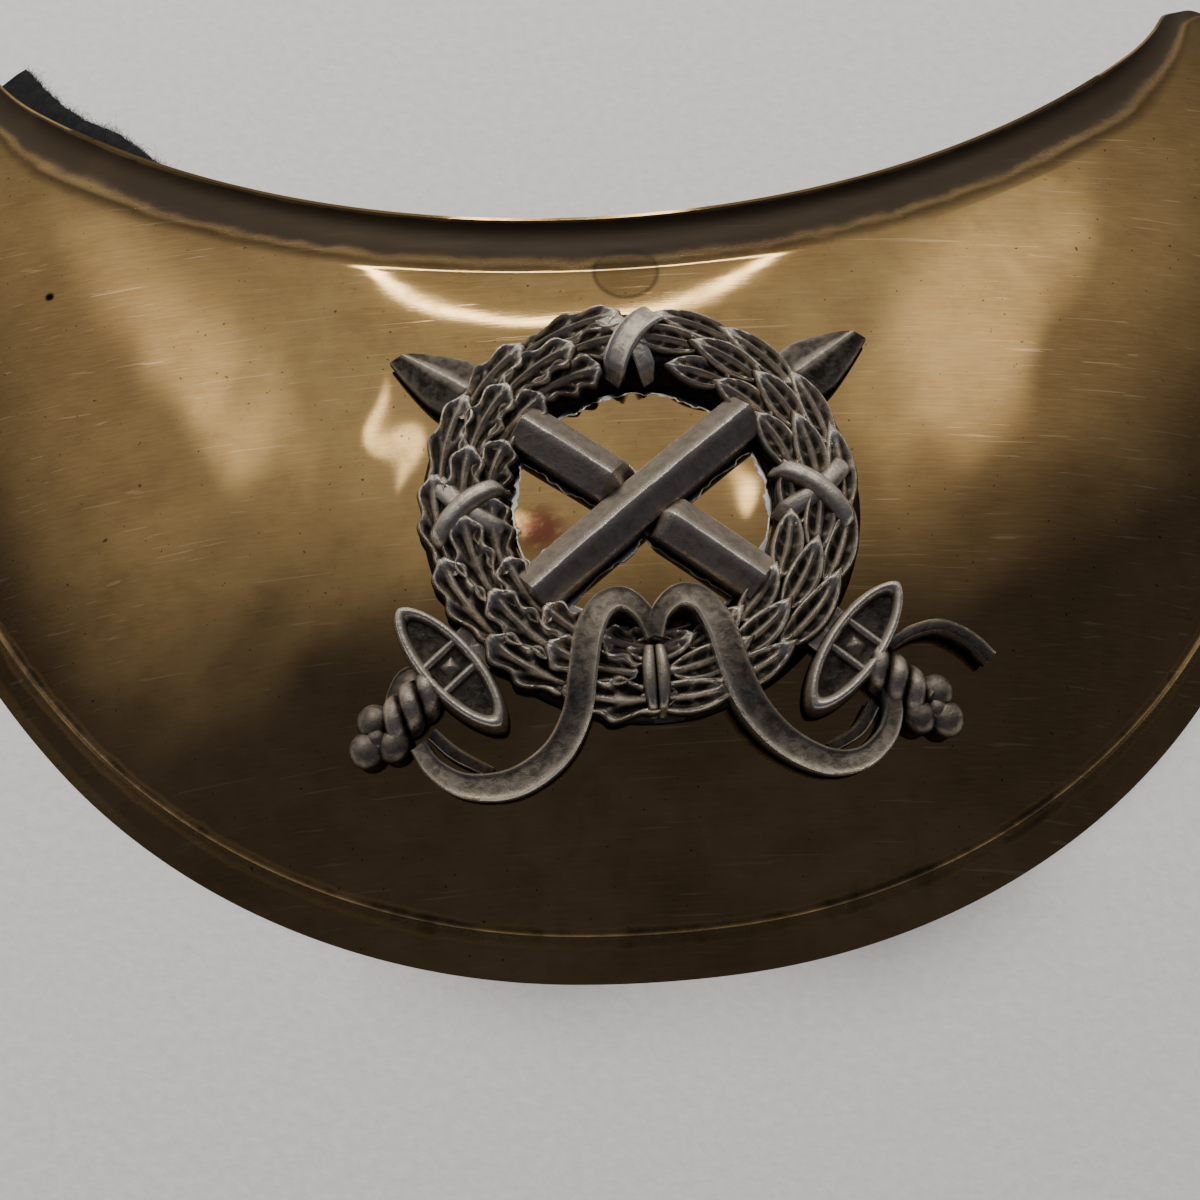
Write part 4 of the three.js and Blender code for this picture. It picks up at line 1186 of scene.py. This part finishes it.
def white_metal_material():
    """Cast white metal: near black in the hollows, as patina and painted shade, grey on the flats, light on
    the worn ridges, with painted highlights there.
    """
    material, nodes, surface = new_material("patinated_white_metal")
    position = object_position(nodes)
    tarnish = group_node(nodes, TARNISH, {"Position": position, "Cloud Scale": 160.0, "Speck Scale": 2600.0})
    wear_and_shading = nodes.add("ShaderNodeAttribute", attribute_name="wear_and_shading").outputs["Fac"]
    worn_and_shaded = nodes.minus(wear_and_shading, nodes.times(tarnish.outputs["Mottle"], 0.14))
    # Dark: patina and painted shade in the hollows; light: worn ridges with painted highlights.
    dark = (0.03, 0.023, 0.016, 1)
    grey = (0.52, 0.435, 0.33, 1)
    light = (0.98, 0.88, 0.73, 1)
    colour = nodes.mix(nodes.span(worn_and_shaded, 0.05, 0.6), dark, grey)
    colour = nodes.mix(nodes.span(worn_and_shaded, 0.5, 0.95), colour, light)
    colour = nodes.mix(nodes.times(tarnish.outputs["Specks"], 0.5), colour, dark)
    nodes.feed(surface.inputs["Base Color"], colour)
    surface.inputs["Metallic"].default_value = 0.75
    rough = nodes.span(worn_and_shaded, 0.0, 0.9, 0.42, 0.2)
    nodes.feed(surface.inputs["Roughness"], rough)
    pits = nodes.noise(position, 3800.0, 4.0, 0.6)
    height = nodes.plus(pits, nodes.times(tarnish.outputs["Mottle"], 1.2))
    nodes.bump(surface, 0.5, 0.00005, height)
    return material


def felt_material():
    """Black wool felt: matted fibre noise in colour and height."""
    material, nodes, surface = new_material("black_felt")
    position = object_position(nodes)
    fibre = nodes.noise(nodes.stretched(position, 0.4, (1.0, 0.3, 1.0)), 2400.0, 6.0, 0.7, 1.2)
    matted = nodes.noise(position, 500.0, 5.0, 0.7, 1.5)
    both = nodes.plus(nodes.times(fibre, 0.6), nodes.times(matted, 0.4))
    colour = nodes.mix(nodes.span(both, 0.3, 0.75), (0.003, 0.003, 0.003, 1), (0.018, 0.018, 0.019, 1))
    nodes.feed(surface.inputs["Base Color"], colour)
    surface.inputs["Roughness"].default_value = 0.95
    surface.inputs["Sheen Weight"].default_value = 0.03
    nodes.bump(surface, 0.9, 0.0002, both)
    return material


def floor_material():
    """Pale grey paper with a fine tooth."""
    material, nodes, surface = new_material("pale_paper")
    position = object_position(nodes)
    tooth = nodes.noise(position, 900.0, 3.0, 0.6)
    colour = nodes.mix(nodes.span(tooth, 0.3, 0.7), (0.74, 0.735, 0.705, 1), (0.8, 0.795, 0.76, 1))
    nodes.feed(surface.inputs["Base Color"], colour)
    surface.inputs["Roughness"].default_value = 0.8
    nodes.bump(surface, 0.25, 0.0002, tooth)
    return material


def dress(thing, material):
    thing.data.materials.clear()
    thing.data.materials.append(material)
    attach(thing, "root")


# Light, floor and camera: distances in metres, lens and sensor in millimetres
VIEW_ELEVATION = math.radians(60)
VIEW_AZIMUTH = math.radians(-3.84)
VIEW_DISTANCE = 0.300
VIEW_TARGET = Vector((-0.0023, -0.0124, 0.0))
SENSOR = 36.0
LENS = 91.65
# Panes of light in the room, by direction: middle across and behind, radii, strength.
PANES = (
    (-0.35, 0.46, 0.1, 0.2, 0.8),
    (0.37, 0.46, 0.1, 0.2, 0.8),
    (-0.056, 0.245, 0.025, 0.03, 2.5),
    (0.154, 0.273, 0.02, 0.05, 4.0),
    (-0.165, 0.38, 0.008, 0.08, 2.8),
)
LAMP_ACROSS = 0.015
LAMP_BEHIND = 0.6
LAMP_HALF_WIDTH = 0.155
LAMP_FAR_DEPTH = 0.2
LAMP_NEAR_DEPTH = 0.075
LAMP_STRENGTH = 10.0
# The room's colour: socket, share of the light, base light.
ROOM_TINT = (("X", 1.0, 0.008), ("Y", 0.98, 0.011), ("Z", 0.93, 0.038))


def make_floor():
    size = 1.2
    corners = [(-size, -size, 0), (size, -size, 0), (size, size, 0), (-size, size, 0)]
    mesh = bpy.data.meshes.new("floor")
    mesh.from_pydata(corners, [], [(0, 1, 2, 3)])
    floor = bpy.data.objects.new("floor", mesh)
    bpy.context.scene.collection.objects.link(floor)
    floor.data.materials.append(floor_material())


def make_camera():
    data = bpy.data.cameras.new("camera")
    data.sensor_width = SENSOR
    data.lens = LENS
    data.clip_start = 0.01
    camera = bpy.data.objects.new("camera", data)
    bpy.context.scene.collection.objects.link(camera)
    back = Vector((
        math.sin(VIEW_AZIMUTH) * math.cos(VIEW_ELEVATION),
        -math.cos(VIEW_AZIMUTH) * math.cos(VIEW_ELEVATION),
        math.sin(VIEW_ELEVATION),
    ))
    camera.location = VIEW_TARGET + back * VIEW_DISTANCE
    camera.rotation_euler = back.to_track_quat("Z", "Y").to_euler()
    bpy.context.scene.camera = camera


def make_world():
    """Soft room light by direction: a broad pale patch high behind the object, with small panes and
    the outline of an oval ceiling lamp in it, a dim glow at the left, a pale band far behind near
    the horizon, and little light elsewhere or from below."""
    world = bpy.data.worlds.new("room")
    bpy.context.scene.world = world
    world.use_nodes = True
    nodes = Nodes(world.node_tree)
    direction = nodes.add("ShaderNodeTexCoord").outputs["Generated"]
    parts = nodes.add("ShaderNodeSeparateXYZ", {"Vector": direction})
    x, y, z = parts.outputs

    def oval_distance(middle_x, middle_y, radius_x, radius_y):
        across = nodes.math("DIVIDE", nodes.minus(x, middle_x), radius_x)
        back = nodes.math("DIVIDE", nodes.minus(y, middle_y), radius_y)
        return nodes.length(across, back)

    value = nodes.span(oval_distance(0.0, 0.47, 0.85, 0.4), 0.3, 1.35, 0.5, 0.045)
    for middle_x, middle_y, radius_x, radius_y, strength in PANES:
        distance = oval_distance(middle_x, middle_y, radius_x, radius_y)
        value = nodes.plus(value, nodes.span(distance, 0.3, 1.3, strength, 0.0))
    across = nodes.math("DIVIDE", nodes.minus(x, LAMP_ACROSS), LAMP_HALF_WIDTH)
    behind = nodes.minus(y, LAMP_BEHIND)
    far_half = nodes.math("DIVIDE", nodes.math("MAXIMUM", behind, 0.0), LAMP_FAR_DEPTH)
    near_half = nodes.math("DIVIDE", nodes.math("MINIMUM", behind, 0.0), LAMP_NEAR_DEPTH)
    lamp_distance = nodes.length(across, nodes.plus(far_half, near_half))
    edge = nodes.math("ABSOLUTE", nodes.minus(lamp_distance, 1.0))
    lamp = nodes.span(edge, 0.02, 0.06, LAMP_STRENGTH, 0.0)
    left_glow = nodes.span(oval_distance(-0.62, 0.12, 0.3, 0.3), 0.2, 1.1, 0.16, 0.0)
    far_band = nodes.span(y, 0.89, 0.96, 0.0, 0.55)
    for light in (lamp, left_glow, far_band):
        value = nodes.plus(value, light)
    above = nodes.span(z, -0.02, 0.05, 0.1, 1.0)
    value = nodes.times(value, above)
    tinted = {socket: nodes.weighted(base, (value, share)) for socket, share, base in ROOM_TINT}
    colour = nodes.add("ShaderNodeCombineXYZ", tinted)
    background = nodes.add("ShaderNodeBackground", {"Color": colour.outputs[0], "Strength": 1.0})
    output = nodes.add("ShaderNodeOutputWorld")
    world.node_tree.links.new(background.outputs[0], output.inputs[0])


def make_lights():
    """A broad soft box over the table; it lights the floor and isn't seen in the metal."""
    data = bpy.data.lights.new("soft_box", "AREA")
    data.shape = "RECTANGLE"
    data.size = 0.5
    data.size_y = 0.3
    data.energy = 11.8
    data.color = (1.0, 0.985, 0.95)
    light = bpy.data.objects.new("soft_box", data)
    place = Vector((-0.15, 0.72, 0.5))
    light.location = place
    light.rotation_euler = place.to_track_quat("Z", "Y").to_euler()
    light.visible_glossy = False
    bpy.context.scene.collection.objects.link(light)


def main():
    rng = np.random.default_rng(7)
    make_camera()
    make_world()
    make_lights()
    make_floor()
    brass = brass_material()
    white_metal = white_metal_material()
    felt = felt_material()

    skin = make_plate()
    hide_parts("plate")
    dress(skin, brass)

    lining, area, edge, reach = make_lining(rng)
    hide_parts("lining")
    dress(lining, felt)
    fuzz = make_fuzz(rng, edge, reach)
    dress(fuzz, felt)

    for name, side in (("stud_left", -1), ("stud_right", 1)):
        dress(make_stud(name, side), brass)

    badge = make_badge(rng)
    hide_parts("badge")
    dress(badge, white_metal)


main()
